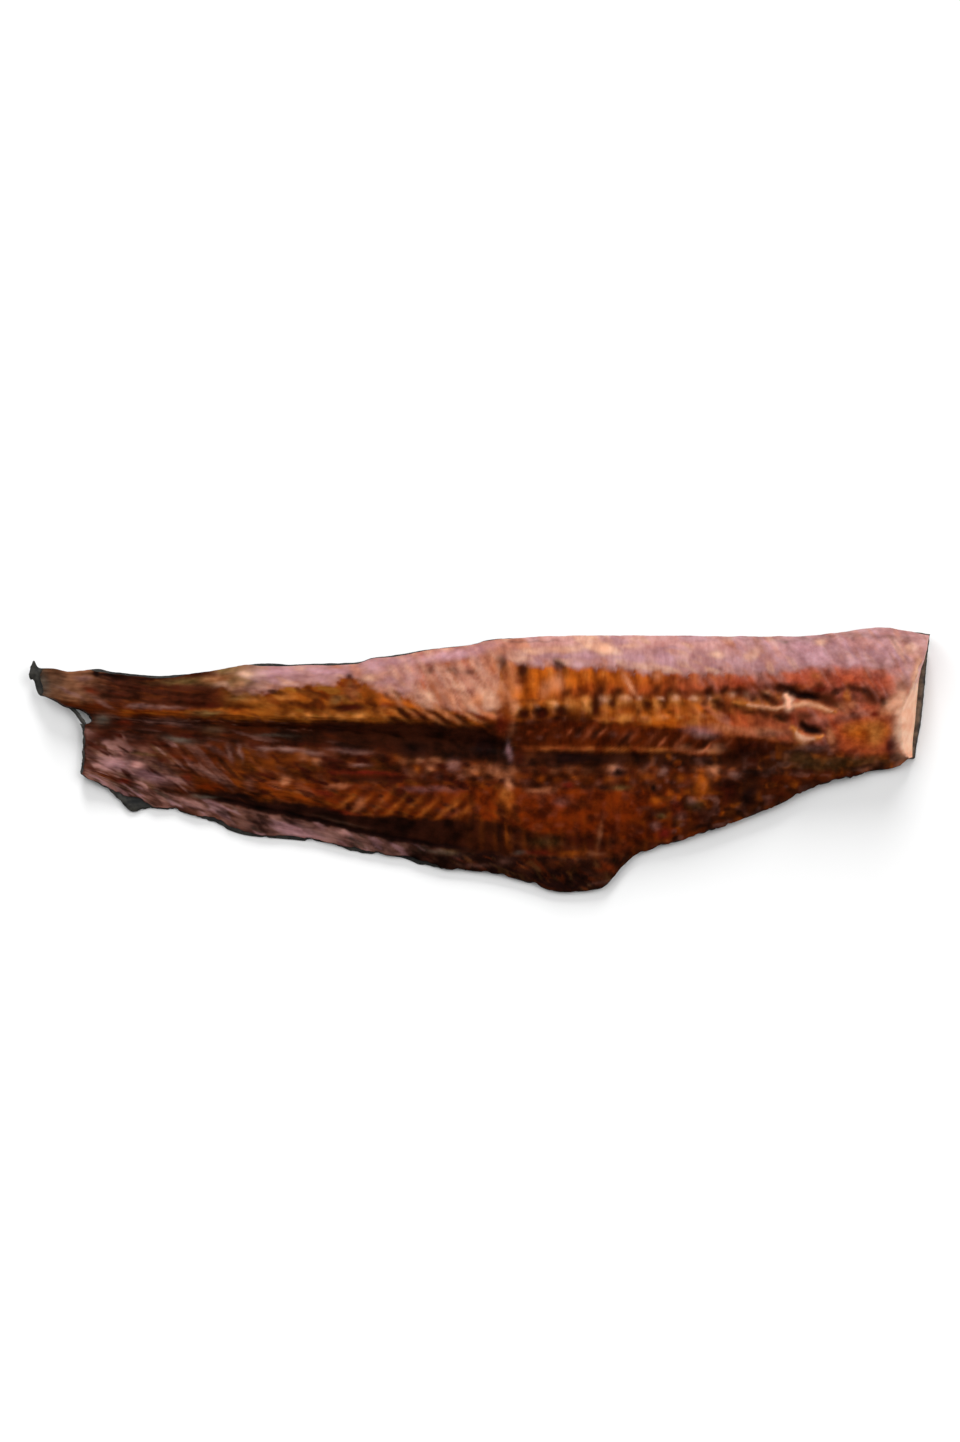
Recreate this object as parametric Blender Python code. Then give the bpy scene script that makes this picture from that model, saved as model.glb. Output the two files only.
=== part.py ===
"""One side of a smoked fish, lying skin down as a single solid.

The side is a slab whose points are placed by functions. Two fractions give a place in plan:
u runs from the tail tip (0) to the head cut (1), and v from the belly corner (0) to the back (1).
The origin is under the middle of the bounding box, +X points to the head cut, +Y to the back.
"""

import math

import bmesh
import bpy
import numpy as np

# Driving dimensions, in metres
LENGTH = 0.360  # tail tip to head cut
WIDTH = 0.106  # belly corner to the highest point of the back
THICKNESS = 0.019  # loin, close to the head cut
EDGE = 0.0016  # skin and flesh left at a thin edge

# Cells of the slab along and across the fish
CELLS_ALONG = 96
CELLS_ACROSS = 23

# Plan outline: (u, v) along the two long edges
BACK_EDGE = [
    (0.0, 0.846), (0.023, 0.848), (0.047, 0.835), (0.075, 0.845), (0.093, 0.835), (0.145, 0.82),
    (0.206, 0.839), (0.258, 0.866), (0.29, 0.861), (0.33, 0.866), (0.366, 0.869), (0.38, 0.885),
    (0.412, 0.9), (0.45, 0.921), (0.478, 0.931), (0.497, 0.941), (0.507, 0.952), (0.523, 0.959),
    (0.634, 0.969), (0.845, 0.965), (0.9, 0.981), (0.943, 1.0), (0.973, 0.989), (1.0, 0.976),
]  # fmt: skip
BELLY_EDGE = [
    (0.0, 0.449), (0.056, 0.447), (0.063, 0.432), (0.076, 0.413), (0.103, 0.334), (0.115, 0.304),
    (0.142, 0.315), (0.178, 0.293), (0.243, 0.214), (0.3, 0.196), (0.345, 0.173), (0.36, 0.153),
    (0.412, 0.132), (0.447, 0.09), (0.5, 0.078), (0.536, 0.054), (0.594, 0.0), (0.635, 0.014),
    (0.662, 0.107), (0.68, 0.148), (0.736, 0.207), (0.789, 0.272), (0.823, 0.316), (0.885, 0.41),
    (0.917, 0.431), (0.933, 0.456), (0.956, 0.466), (0.972, 0.485), (0.984, 0.507),
]  # fmt: skip

# Plan outline of the two ends: (share of the way from belly to back, u)
TAIL_END = [
    (0.0, 0.056), (0.1, 0.058), (0.42, 0.059), (0.51, 0.054), (0.6, 0.045), (0.7, 0.026),
    (0.745, 0.01), (0.84, 0.004), (0.93, 0.0), (1.0, 0.001),
]  # fmt: skip
BELLY_START = 0.056  # u where the belly edge really starts
HEAD_END = [(0.0, 0.984), (0.14, 0.987), (0.3, 0.991), (0.5, 0.994), (1.0, 1.0)]

# The knife leans at the head cut: (share from belly to back, how far the flesh stops short of the skin)
HEAD_LEAN = [
    (0.0, 0.006), (0.12, 0.0083), (0.3, 0.0112), (0.42, 0.0145), (0.5, 0.0082), (0.58, 0.0055),
    (0.8, 0.003), (1.0, 0.0008),
]  # fmt: skip

# Lines where muscle bands meet, as (u, v)
FRINGE_GROOVE = [
    (0.0, 0.52), (0.1, 0.44), (0.189, 0.372), (0.301, 0.308), (0.412, 0.229), (0.545, 0.162), (1.0, 0.1),
]  # fmt: skip
LOWER_SEAM = [(0.0, 0.58), (0.089, 0.538), (0.189, 0.481), (0.301, 0.425), (0.523, 0.41), (1.0, 0.38)]
SPINE_GROOVE = [
    (0.0, 0.68), (0.078, 0.643), (0.301, 0.613), (0.412, 0.583), (0.567, 0.53), (0.745, 0.492), (1.0, 0.44),
]  # fmt: skip
UPPER_SEAM = [
    (0.0, 0.755), (0.089, 0.707), (0.189, 0.68), (0.334, 0.665), (0.523, 0.672), (0.589, 0.714),
    (0.7, 0.733), (0.834, 0.707), (1.0, 0.707),
]  # fmt: skip
UNCUT_BELLY = [(0.0, 0.47), (0.056, 0.447), (0.155, 0.304), (0.356, 0.155), (0.6, 0.0), (1.0, -0.04)]

# Thickness of the loin as a share of THICKNESS, along u
LOIN_RISE = [
    (0.0, 0.13), (0.06, 0.24), (0.2, 0.38), (0.35, 0.52), (0.5, 0.7), (0.65, 0.88), (0.82, 0.98), (1.0, 1.0),
]  # fmt: skip

# Share of the loin's thickness on each line (0 belly, 1 fringe groove, 2 lower seam, 3 spine,
# 4 upper seam, 5 back) and between them
CROSS_RISE = [
    (0.0, 0.36), (0.5, 0.5), (1.0, 0.42), (1.5, 0.6), (2.0, 0.62), (2.6, 0.63), (3.0, 0.54), (3.4, 0.72),
    (4.0, 0.97), (4.45, 1.0), (4.8, 0.86), (5.0, 0.7),
]  # fmt: skip

# Rounding and rise of the rim, in metres
BACK_ROUNDING = 0.009
BELLY_ROUNDING = 0.005
BELLY_TAPER = 0.020  # the belly wall thins over this width
BELLY_WALL = 0.45  # share of the thickness left at its edge
TAIL_ROUNDING = 0.004
BACK_UNDERCUT = 0.004  # the skin climbs this far round the back
UNDERCUT_WIDTH = 0.010
TAIL_LIFT = 0.0045  # the dried tail curls off the table
TAIL_LIFT_FROM = 0.14  # u where that starts

# Tear between the two halves of the tail, beside a strand of skin: place (u, v), size and turn
TEAR_PLACE = (0.065, 0.666)
TEAR_SIZE = (0.0038, 0.0056)
TEAR_TURN = 25

# Two gapes where the flakes have come apart near the head: place (u, v), size and turn
GAPES = [
    ((0.861, 0.732), (0.026, 0.0030, 0.0075), -5),
    ((0.872, 0.617), (0.015, 0.0034, 0.0070), -12),
]


def curve_through(points):
    """A smooth function through the points that never swings past them (monotone cubic)."""
    x, y = (np.array(values, float) for values in zip(*points))
    steps = np.diff(x)
    rises = np.diff(y) / steps
    slopes = np.concatenate([rises[:1], np.zeros(len(rises) - 1), rises[-1:]])
    same_way = rises[:-1] * rises[1:] > 0
    mean = 2 * rises[:-1] * rises[1:] / np.where(same_way, rises[:-1] + rises[1:], 1)
    slopes[1:-1] = np.where(same_way, mean, 0)

    def value(at):
        at = np.clip(at, x[0], x[-1])
        i = np.clip(np.searchsorted(x, at) - 1, 0, len(steps) - 1)
        f = (at - x[i]) / steps[i]
        return (
            y[i] * (1 + 2 * f) * (1 - f) ** 2
            + slopes[i] * steps[i] * f * (1 - f) ** 2
            + y[i + 1] * f**2 * (3 - 2 * f)
            + slopes[i + 1] * steps[i] * f**2 * (f - 1)
        )

    return value


def ease(f):
    """0 to 1 with a level start and end."""
    f = np.clip(f, 0, 1)
    return f * f * (3 - 2 * f)


def distance_to(edge, start, u, v):
    """Shortest distance in plan, in metres, from each place to a long edge from station start on."""
    stations = np.linspace(start, 1, 300)
    east = (np.asarray(u)[..., None] - stations) * LENGTH
    north = (np.asarray(v)[..., None] - edge(stations)) * WIDTH
    return np.hypot(east, north).min(axis=-1)


def round_over(distance, radius):
    """Quarter circle: 0 at an edge, 1 from one radius in."""
    f = np.clip(distance / radius, 0, 1)
    return np.sqrt(1 - (1 - f) ** 2)


back_edge = curve_through(BACK_EDGE)
belly_edge = curve_through(BELLY_EDGE)
tail_end = curve_through(TAIL_END)
head_end = curve_through(HEAD_END)
head_lean = curve_through(HEAD_LEAN)
loin_rise = curve_through(LOIN_RISE)
cross_rise = curve_through(CROSS_RISE)
muscle_lines = [
    curve_through(line)
    for line in (UNCUT_BELLY, FRINGE_GROOVE, LOWER_SEAM, SPINE_GROOVE, UPPER_SEAM, BACK_EDGE)
]


def plan_place(along, across, lean):
    """u and v of a slab point; lean is how far short of the head cut's foot its row stops."""
    u = tail_end(across) + (head_end(across) - lean / LENGTH - tail_end(across)) * along
    v = belly_edge(u) + (back_edge(u) - belly_edge(u)) * across
    return u, v


def band_of(u, v):
    """Muscle coordinate: a whole number on each muscle line, with even steps between them."""
    lines = np.array([line(u) for line in muscle_lines])
    gaps = np.diff(lines, axis=0)
    return np.clip((v - lines[:-1]) / gaps, 0, 1).sum(axis=0)


def skin_height(u, v):
    """Underside: flat on the table, climbing round the back and curling up at the tail."""
    from_back = distance_to(back_edge, 0, u, v)
    climb = BACK_UNDERCUT * loin_rise(u) * ease(1 - from_back / UNDERCUT_WIDTH) ** 1.5
    curl = TAIL_LIFT * ease(1 - u / TAIL_LIFT_FROM)
    return climb + curl


def flesh_height(u, v, along):
    """Cut side: the loin and belly muscles between rounded edges."""
    from_back = distance_to(back_edge, 0, u, v)
    from_belly = distance_to(belly_edge, BELLY_START, u, v)
    body = THICKNESS * loin_rise(u) * cross_rise(band_of(u, v))
    body *= BELLY_WALL + (1 - BELLY_WALL) * ease(from_belly / BELLY_TAPER)
    rounding = round_over(from_back, BACK_ROUNDING) * round_over(from_belly, BELLY_ROUNDING)
    rounding *= round_over(along * LENGTH, TAIL_ROUNDING)
    floor = skin_height(u, v) + EDGE
    return floor + np.maximum(body - EDGE, 0) * rounding


def spread(cells, crowding):
    """Shares from 0 to 1 in even cells that crowd a little towards both ends."""
    even = np.linspace(0, 1, cells + 1)
    return even - crowding * np.sin(2 * math.pi * even) / (2 * math.pi)


def slab_mesh():
    """A grid extruded into a closed slab, its two sides laid on the skin and flesh surfaces."""
    mesh = bmesh.new()
    bmesh.ops.create_grid(mesh, x_segments=CELLS_ALONG, y_segments=CELLS_ACROSS, size=0.5)
    for vert in mesh.verts:
        vert.co.x += 0.5
        vert.co.y += 0.5
    raised = bmesh.ops.extrude_face_region(mesh, geom=mesh.faces[:])["geom"]
    for vert in (item for item in raised if isinstance(item, bmesh.types.BMVert)):
        vert.co.z = 1
    share = np.array([vert.co for vert in mesh.verts])
    along = spread(CELLS_ALONG, 0.25)[np.rint(share[:, 0] * CELLS_ALONG).astype(int)]
    across = spread(CELLS_ACROSS, 0.45)[np.rint(share[:, 1] * CELLS_ACROSS).astype(int)]
    is_flesh = share[:, 2] > 0.5
    u, v = plan_place(along, across, np.where(is_flesh, head_lean(across), 0.0))
    height = np.where(is_flesh, flesh_height(u, v, along), skin_height(u, v))
    for vert, x, y, z in zip(mesh.verts, (u - 0.5) * LENGTH, (v - 0.5) * WIDTH, height):
        vert.co = (x, y, z)
    bmesh.ops.recalc_face_normals(mesh, faces=mesh.faces)
    return mesh


def add_object(name, mesh, collection):
    data = bpy.data.meshes.new(name)
    mesh.to_mesh(data)
    mesh.free()
    made = bpy.data.objects.new(name, data)
    collection.objects.link(made)
    return made


def cut_with(fillet, name, mesh, size, place, height, turn, collection):
    """Takes a unit shape of this size, place and turn out of the fillet."""
    bmesh.ops.scale(mesh, vec=size, verts=mesh.verts)
    cutter = add_object(name, mesh, collection)
    cutter.location = ((place[0] - 0.5) * LENGTH, (place[1] - 0.5) * WIDTH, height)
    cutter.rotation_euler.z = math.radians(turn)
    cutter.hide_render = True
    cutter.display_type = "WIRE"
    cut = fillet.modifiers.new(name, "BOOLEAN")
    cut.operation = "DIFFERENCE"
    cut.object = cutter


def cut_tear(fillet, collection):
    """An upright oval pin goes through the tail."""
    pin = bmesh.new()
    bmesh.ops.create_cone(pin, cap_ends=True, segments=16, radius1=0.5, radius2=0.5, depth=1)
    size = (*TEAR_SIZE, 4 * THICKNESS)
    cut_with(fillet, "tail_tear", pin, size, TEAR_PLACE, 0, TEAR_TURN, collection)


def cut_gapes(fillet, collection):
    """Long lens shapes sink half their depth into the flesh."""
    for number, (place, size, turn) in enumerate(GAPES, 1):
        lens = bmesh.new()
        bmesh.ops.create_uvsphere(lens, u_segments=14, v_segments=8, radius=0.5)
        height = float(flesh_height(np.array([place[0]]), np.array([place[1]]), 1.0)[0])
        cut_with(fillet, f"gape_{number}", lens, size, place, height, turn, collection)


def smoked_flesh():
    material = bpy.data.materials.new("smoked_flesh")
    material.use_nodes = True
    shader = material.node_tree.nodes["Principled BSDF"]
    shader.inputs["Base Color"].default_value = (0.2, 0.055, 0.02, 1)
    shader.inputs["Roughness"].default_value = 0.4
    shader.inputs["Metallic"].default_value = 0.0
    return material


def new_collection(name):
    collection = bpy.data.collections.new(name)
    bpy.context.scene.collection.children.link(collection)
    return collection


def build():
    for old in list(bpy.data.objects):
        bpy.data.objects.remove(old, do_unlink=True)
    fish = new_collection("smoked_fish")
    cutters = new_collection("cutters")

    fillet = add_object("fillet", slab_mesh(), fish)
    fillet.data.shade_smooth()
    fillet.data.set_sharp_from_angle(angle=math.radians(40))
    fillet.data.materials.append(smoked_flesh())

    cut_tear(fillet, cutters)
    cut_gapes(fillet, cutters)


build()
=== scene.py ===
import math

import bmesh
import bpy
import numpy as np
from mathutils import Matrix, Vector


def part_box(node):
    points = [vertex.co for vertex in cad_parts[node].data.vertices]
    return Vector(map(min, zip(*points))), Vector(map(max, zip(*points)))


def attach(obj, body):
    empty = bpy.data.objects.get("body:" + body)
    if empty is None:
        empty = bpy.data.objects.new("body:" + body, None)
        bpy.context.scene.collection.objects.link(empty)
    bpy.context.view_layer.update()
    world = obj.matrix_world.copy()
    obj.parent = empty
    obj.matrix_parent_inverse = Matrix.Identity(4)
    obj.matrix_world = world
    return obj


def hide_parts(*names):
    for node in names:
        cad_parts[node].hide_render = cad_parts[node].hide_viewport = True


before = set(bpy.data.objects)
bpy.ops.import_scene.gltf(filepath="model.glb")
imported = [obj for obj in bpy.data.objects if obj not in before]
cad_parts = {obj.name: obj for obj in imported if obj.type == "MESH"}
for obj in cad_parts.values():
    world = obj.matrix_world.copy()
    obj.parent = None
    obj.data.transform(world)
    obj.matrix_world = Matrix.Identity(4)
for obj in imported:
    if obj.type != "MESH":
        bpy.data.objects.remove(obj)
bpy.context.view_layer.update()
fishLow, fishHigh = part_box("fillet")
length, width, thickness = fishHigh - fishLow
print("frame loaded,", round(length * 1000), "x", round(width * 1000), "mm fillet")

# Places on the fish are (u, v): u from the tail tip to the head cut, v from the belly corner to the back.
# The tables give both in thousandths, and curves as {place: value}, drawn smoothly through their points.
fishPlan = {
    "back": {
        0: 846, 23: 848, 47: 835, 75: 845, 93: 835, 145: 820, 206: 839, 258: 866, 290: 861, 330: 866,
        366: 869, 380: 885, 412: 900, 450: 921, 478: 931, 497: 941, 507: 952, 523: 959, 634: 969, 845: 965,
        900: 981, 943: 1000, 973: 989, 1000: 976,
    },
    "belly": {
        0: 449, 56: 447, 63: 432, 76: 413, 103: 334, 115: 304, 142: 315, 178: 293, 243: 214, 300: 196,
        345: 173, 360: 153, 412: 132, 447: 90, 500: 78, 536: 54, 594: 0, 635: 14, 662: 107, 680: 148,
        736: 207, 789: 272, 823: 316, 885: 410, 917: 431, 933: 456, 956: 466, 972: 485, 984: 507,
    },
    # share of the way from belly to back, then u
    "tail": {0: 56, 100: 58, 420: 59, 510: 54, 600: 45, 700: 26, 745: 10, 840: 4, 930: 0, 1000: 1},
    "head": {0: 984, 140: 987, 300: 991, 500: 994, 1000: 1000},
    "uncutBelly": {0: 470, 56: 447, 155: 304, 356: 155, 600: 0, 1000: -40},
    "fringeGroove": {0: 520, 100: 440, 189: 372, 301: 308, 412: 229, 545: 162, 1000: 100},
    "lowerSeam": {0: 580, 89: 538, 189: 481, 301: 425, 523: 410, 1000: 380},
    "spineGroove": {0: 680, 78: 643, 301: 613, 412: 583, 567: 530, 745: 492, 1000: 440},
    "upperSeam": {0: 755, 89: 707, 189: 680, 334: 665, 523: 672, 589: 714, 700: 733, 834: 707, 1000: 707},
    # share of the full thickness: along u, then over the muscle bands
    "loinRise": {0: 130, 60: 240, 200: 380, 350: 520, 500: 700, 650: 880, 820: 980, 1000: 1000},
    "crossRise": {
        0: 360, 500: 500, 1000: 420, 1500: 600, 2000: 620, 2600: 630, 3000: 540, 3400: 720, 4000: 970,
        4450: 1000, 4800: 860, 5000: 700,
    },
    # in metres, apart from the three shares: bellyStart and tailLiftFrom along u, bellyWall of the thickness
    "bellyStart": 0.056, "backRounding": 0.009, "bellyRounding": 0.005, "bellyTaper": 0.02,
    "bellyWall": 0.45, "tailRounding": 0.004, "backUndercut": 0.004, "undercutWidth": 0.01,
    "tailLift": 0.0045, "tailLiftFrom": 0.14, "rim": 0.0016,
}


def curveThrough(points, unit=1):
    # smooth function through a table's points that never swings past them; its values are parts of the unit
    x, y = np.array(list(points), float) / 1000, np.array(list(points.values()), float) / unit
    steps = np.diff(x)
    rises = np.diff(y) / steps
    slopes = np.concatenate([rises[:1], np.zeros(len(rises) - 1), rises[-1:]])
    sameWay = rises[:-1] * rises[1:] > 0
    mean = 2 * rises[:-1] * rises[1:] / np.where(sameWay, rises[:-1] + rises[1:], 1)
    slopes[1:-1] = np.where(sameWay, mean, 0)

    def value(at):
        at = np.clip(at, x[0], x[-1])
        i = np.clip(np.searchsorted(x, at) - 1, 0, len(steps) - 1)
        f = (at - x[i]) / steps[i]
        return (
            y[i] * (1 + 2 * f) * (1 - f) ** 2
            + slopes[i] * steps[i] * f * (1 - f) ** 2
            + y[i + 1] * f**2 * (3 - 2 * f)
            + slopes[i + 1] * steps[i] * f**2 * (f - 1)
        )

    return value


def ease(f):
    f = np.clip(f, 0, 1)
    return f * f * (3 - 2 * f)


def roundOver(distance, radius):
    # quarter circle: 0 at an edge, 1 from one radius in
    f = np.clip(distance / radius, 0, 1)
    return np.sqrt(1 - (1 - f) ** 2)


def lumps(x, y, seed=0):
    # smooth noise from -1 to 1, one bump for each unit square
    column, row = np.floor(x).astype(np.int64), np.floor(y).astype(np.int64)
    f, g = ease(x - column), ease(y - row)

    def corner(i, j):
        h = (i * 374761393 + j * 668265263 + seed * 982451653) & 0x7FFFFFFF
        h = ((h ^ (h >> 13)) * 1274126177) & 0x7FFFFFFF
        return ((h ^ (h >> 16)) & 0xFFFF) / 32767.5 - 1

    low = corner(column, row) * (1 - f) + corner(column + 1, row) * f
    high = corner(column, row + 1) * (1 - f) + corner(column + 1, row + 1) * f
    return low * (1 - g) + high * g


def roughness(x, y, seed, octaves=3):
    # several sizes of lumps on top of each other, about -1 to 1
    total, weight = 0, 1
    for octave in range(octaves):
        total = total + weight * lumps(x * 2**octave, y * 2**octave, seed + octave)
        weight *= 0.55
    return total / 1.6


def spread(cells, crowding):
    # shares from 0 to 1 in even cells that crowd a little towards both ends
    even = np.linspace(0, 1, cells + 1)
    return even - crowding * np.sin(2 * math.pi * even) / (2 * math.pi)


curve = {name: curveThrough(points, 1000) for name, points in fishPlan.items() if isinstance(points, dict)}
muscleNames = ("uncutBelly", "fringeGroove", "lowerSeam", "spineGroove", "upperSeam", "back")
muscleLines = [curve[name] for name in muscleNames]


def distanceTo(edge, start, u, v):
    # shortest way in plan, in metres, to a long edge
    nearest = np.full(u.shape, 1.0)
    for station in np.linspace(start, 1, 300):
        nearest = np.minimum(nearest, np.hypot((u - station) * length, (v - edge(station)) * width))
    return nearest


def edgeDistances(u, v):
    # to the back and to the cut belly
    return distanceTo(curve["back"], 0, u, v), distanceTo(curve["belly"], fishPlan["bellyStart"], u, v)


def bandOf(u, v):
    # muscle coordinate: a whole number on each muscle line, even steps between them
    lines = np.array([line(u) for line in muscleLines])
    return np.clip((v - lines[:-1]) / np.diff(lines, axis=0), 0, 1).sum(axis=0)


def tears(along):
    # how deep the torn belly edge is cut in, in metres
    return 0.0001 + 0.0016 * np.maximum(roughness(along / 0.0045, 0 * along, 79, 4), 0)


def skinHeight(u, fromBack):
    # flat on the table, climbing round the back and curling up at the tail
    under = ease(1 - fromBack / fishPlan["undercutWidth"])
    climb = fishPlan["backUndercut"] * curve["loinRise"](u) * under**1.5
    return climb + fishPlan["tailLift"] * ease(1 - u / fishPlan["tailLiftFrom"])


def fleshRise(u, band, fromBack, fromBelly, fromTail):
    # cut side above the rim: the loin and belly muscles between rounded edges
    body = thickness * curve["loinRise"](u) * curve["crossRise"](band)
    wall = fishPlan["bellyWall"]
    body = body * (wall + (1 - wall) * ease(fromBelly / fishPlan["bellyTaper"]))
    rounding = roundOver(fromBack, fishPlan["backRounding"])
    rounding = rounding * roundOver(fromBelly, fishPlan["bellyRounding"])
    rounding = rounding * roundOver(fromTail, fishPlan["tailRounding"])
    return np.maximum(body - fishPlan["rim"], 0) * rounding


class Wire:
    # a socket that takes part in Python expressions
    def __init__(self, paint, socket):
        self.paint = paint
        self.socket = socket

    def __add__(self, other):
        return self.paint.maths("ADD", self, other)

    def __sub__(self, other):
        return self.paint.maths("SUBTRACT", self, other)

    def __mul__(self, other):
        return self.paint.maths("MULTIPLY", self, other)

    def __rsub__(self, other):
        return self.paint.maths("SUBTRACT", other, self)

    __radd__ = __add__
    __rmul__ = __mul__


class Paint:
    # one material: its node tree and the ways to add to it
    def __init__(self, name, fixed):
        self.material = bpy.data.materials.new(name)
        self.material.use_nodes = True
        self.tree = self.material.node_tree
        self.shader = self.tree.nodes["Principled BSDF"]
        for socket, value in fixed.items():
            self.shader.inputs[socket].default_value = value

    def feed(self, socket, value):
        if isinstance(value, Wire):
            self.tree.links.new(value.socket, socket)
        else:
            socket.default_value = (*value, 1) if socket.type == "RGBA" else value

    def node(self, kind, settings, values, output=0):
        made = self.tree.nodes.new(kind)
        for name, setting in settings.items():
            setattr(made, name, setting)
        for socket, value in values.items():
            self.feed(made.inputs[socket], value)
        return Wire(self, made.outputs[output])

    def maths(self, operation, *values):
        return self.node("ShaderNodeMath", {"operation": operation}, dict(enumerate(values)))

    def mix(self, below, above, factor):
        settings = {"data_type": "RGBA", "clamp_factor": True}
        return self.node("ShaderNodeMix", settings, {0: factor, 6: below, 7: above}, 2)

    def stretched(self, vector, by):
        return self.node("ShaderNodeVectorMath", {"operation": "MULTIPLY"}, {0: vector, 1: by})

    def smooth(self, value, low, high):
        values = {"Value": value, "From Min": low, "From Max": high}
        return self.node("ShaderNodeMapRange", {"interpolation_type": "SMOOTHSTEP"}, values)

    def objectPlace(self):
        return self.node("ShaderNodeTexCoord", {}, {}, "Object")

    def bump(self, height, distance):
        return self.node("ShaderNodeBump", {}, {"Strength": 0.6, "Distance": distance, "Height": height})

    def painted(self, name, output="Fac"):
        return self.node("ShaderNodeAttribute", {"attribute_name": name}, {}, output)

    def noise(self, vector, scale, detail=2.0, rough=0.5):
        values = {"Vector": vector, "Scale": scale, "Detail": detail, "Roughness": rough}
        return self.node("ShaderNodeTexNoise", {}, values)

    def finish(self, **sockets):
        for name, value in sockets.items():
            self.feed(self.shader.inputs[name.replace("_", " ")], value)
        return self.material


def placed(name, data):
    # a new object in the scene
    made = bpy.data.objects.new(name, data)
    bpy.context.scene.collection.objects.link(made)
    return made


def planPlace(u, v):
    # (u, v) as metres from the middle of the fish
    return (u - 0.5) * length, (v - 0.5) * width


def closedShell(name, upper, lower, attributes):
    # a fine upper grid of points and an equal or coarser lower one, joined round the rim
    rows, columns = upper.shape[:2]
    step = (rows - 1) // (lower.shape[0] - 1)
    fine = np.arange(rows * columns).reshape(rows, columns)
    coarse = fine.size + np.arange(lower.shape[0] * lower.shape[1]).reshape(lower.shape[:2])

    def quads(grid):
        return np.stack([grid[:-1, :-1], grid[1:, :-1], grid[1:, 1:], grid[:-1, 1:]], axis=-1).reshape(-1, 4)

    def ring(grid):
        return [*grid[:-1, 0], *grid[-1, :-1], *grid[:0:-1, -1], *grid[0, :0:-1]]

    faces = quads(fine).tolist() + quads(coarse)[:, ::-1].tolist()
    top, bottom = ring(fine), ring(coarse)
    for k, corner in enumerate(bottom):
        following = bottom[(k + 1) % len(bottom)]
        above = [top[(k * step + i) % len(top)] for i in range(step, -1, -1)]
        faces.append([int(n) for n in (corner, following, *above)])
    points = np.concatenate([upper.reshape(-1, 3), lower.reshape(-1, 3)])
    mesh = bpy.data.meshes.new(name)
    mesh.from_pydata(points.tolist(), [], faces)
    for key, values in attributes.items():
        flat = values.reshape(rows * columns, -1)
        under = values[::step, ::step].reshape(lower.shape[0] * lower.shape[1], -1)
        kind, field = ("FLOAT", "value") if flat.shape[1] == 1 else ("FLOAT_VECTOR", "vector")
        layer = mesh.attributes.new(key, kind, "POINT")
        layer.data.foreach_set(field, np.concatenate([flat, under]).astype(np.float32).ravel())
    mesh.update()
    mesh.shade_smooth()
    return placed(name, mesh)


flesh = {
    "topColumns": 544, "cutColumns": 16, "rows": 152, "coarser": 4,
    # in metres: the skin under it, its rounded edges and its least depth
    "skin": 0.0008, "rounding": 0.003, "thinnest": 0.0003,
    "bandWidth": 0.016,  # of one muscle band, for streaks and fibres
    "warp": (0.0007, 0.0006), "warpSize": (0.0035, 0.0028),  # how far borders wander along and across
    # tops this near the full height are pressed flatter, so that nothing rises past it
    "crest": 0.0008, "crestGive": 0.0007, "crestSoftness": 0.0016,
    # of the surface's noises and where its deep tones end and its light ones start
    "fibreScale": (120, 400, 1), "uprightScale": (430, 150, 200), "grainScale": 250, "mottleScale": 120,
    "toneEnds": (0.33, 0.67), "breakup": 1.8, "bump": 0.0005,
    # how far the flesh stops short of the skin, in millimetres: along u, or across the fish at its ends
    "bellyMargin": {
        1: 0.8, 56: 0.3, 87: 0.6, 103: 3.8, 115: 6, 123: 4.6, 131: 2.2, 141: 0.4, 184: 0.6, 206: 1.8,
        239: 1.6, 254: 0.6, 273: 1.4, 301: 1.2, 314: 0.4, 345: 0.6, 358: 1.6, 381: 1, 406: 0.4, 423: 1.4,
        445: 1.4, 462: 0.3, 999: 0.2,
    },
    "backMargin": {
        1: 1.4, 21: 0.3, 67: 0.3, 75: 1.2, 89: 1, 156: 1.2, 184: 0.3, 239: 0.1, 258: 1.2, 284: 1, 301: 0.5,
        339: 1.1, 378: 0.4, 406: 0.9, 434: 0.4, 523: 0.4, 567: 0, 901: 0, 967: 0.2, 999: 1,
    },
    "tailMargin": {
        0: 1.3, 450: 1.3, 490: 2.8, 530: 6.4, 585: 7.4, 625: 5.8, 665: 1.6, 720: 1.4, 800: 3.8, 1000: 5.2,
    },
    "headMargin": {0: 1.2, 120: 2, 300: 2.6, 420: 2.8, 580: 2.8, 700: 2.4, 800: 1.4, 1000: 0.5},
    # how far the cut at the head leans back, in millimetres, across the fish
    "headLean": {
        0: 2, 60: 4.5, 120: 6, 300: 8.2, 390: 9.5, 460: 7.8, 550: 5, 630: 3.8, 710: 2.8, 850: 1.4,
        1000: 0.6,
    },
    # how deep the line of the spine sinks: places along u, then metres
    "spineDepth": ((0.101, 0.334, 0.501, 0.767, 0.856), (0.0002, 0.0008, 0.0012, 0.0005, 0)),
    # flakes counted from the first bead on the seam
    "flakeCount": {
        1: -15.1, 292: 0, 328: 2, 368: 4, 407: 6, 443: 8, 466: 9, 512: 11, 559: 13, 618: 16, 678: 19,
        999: 35.2,
    },
}

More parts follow.
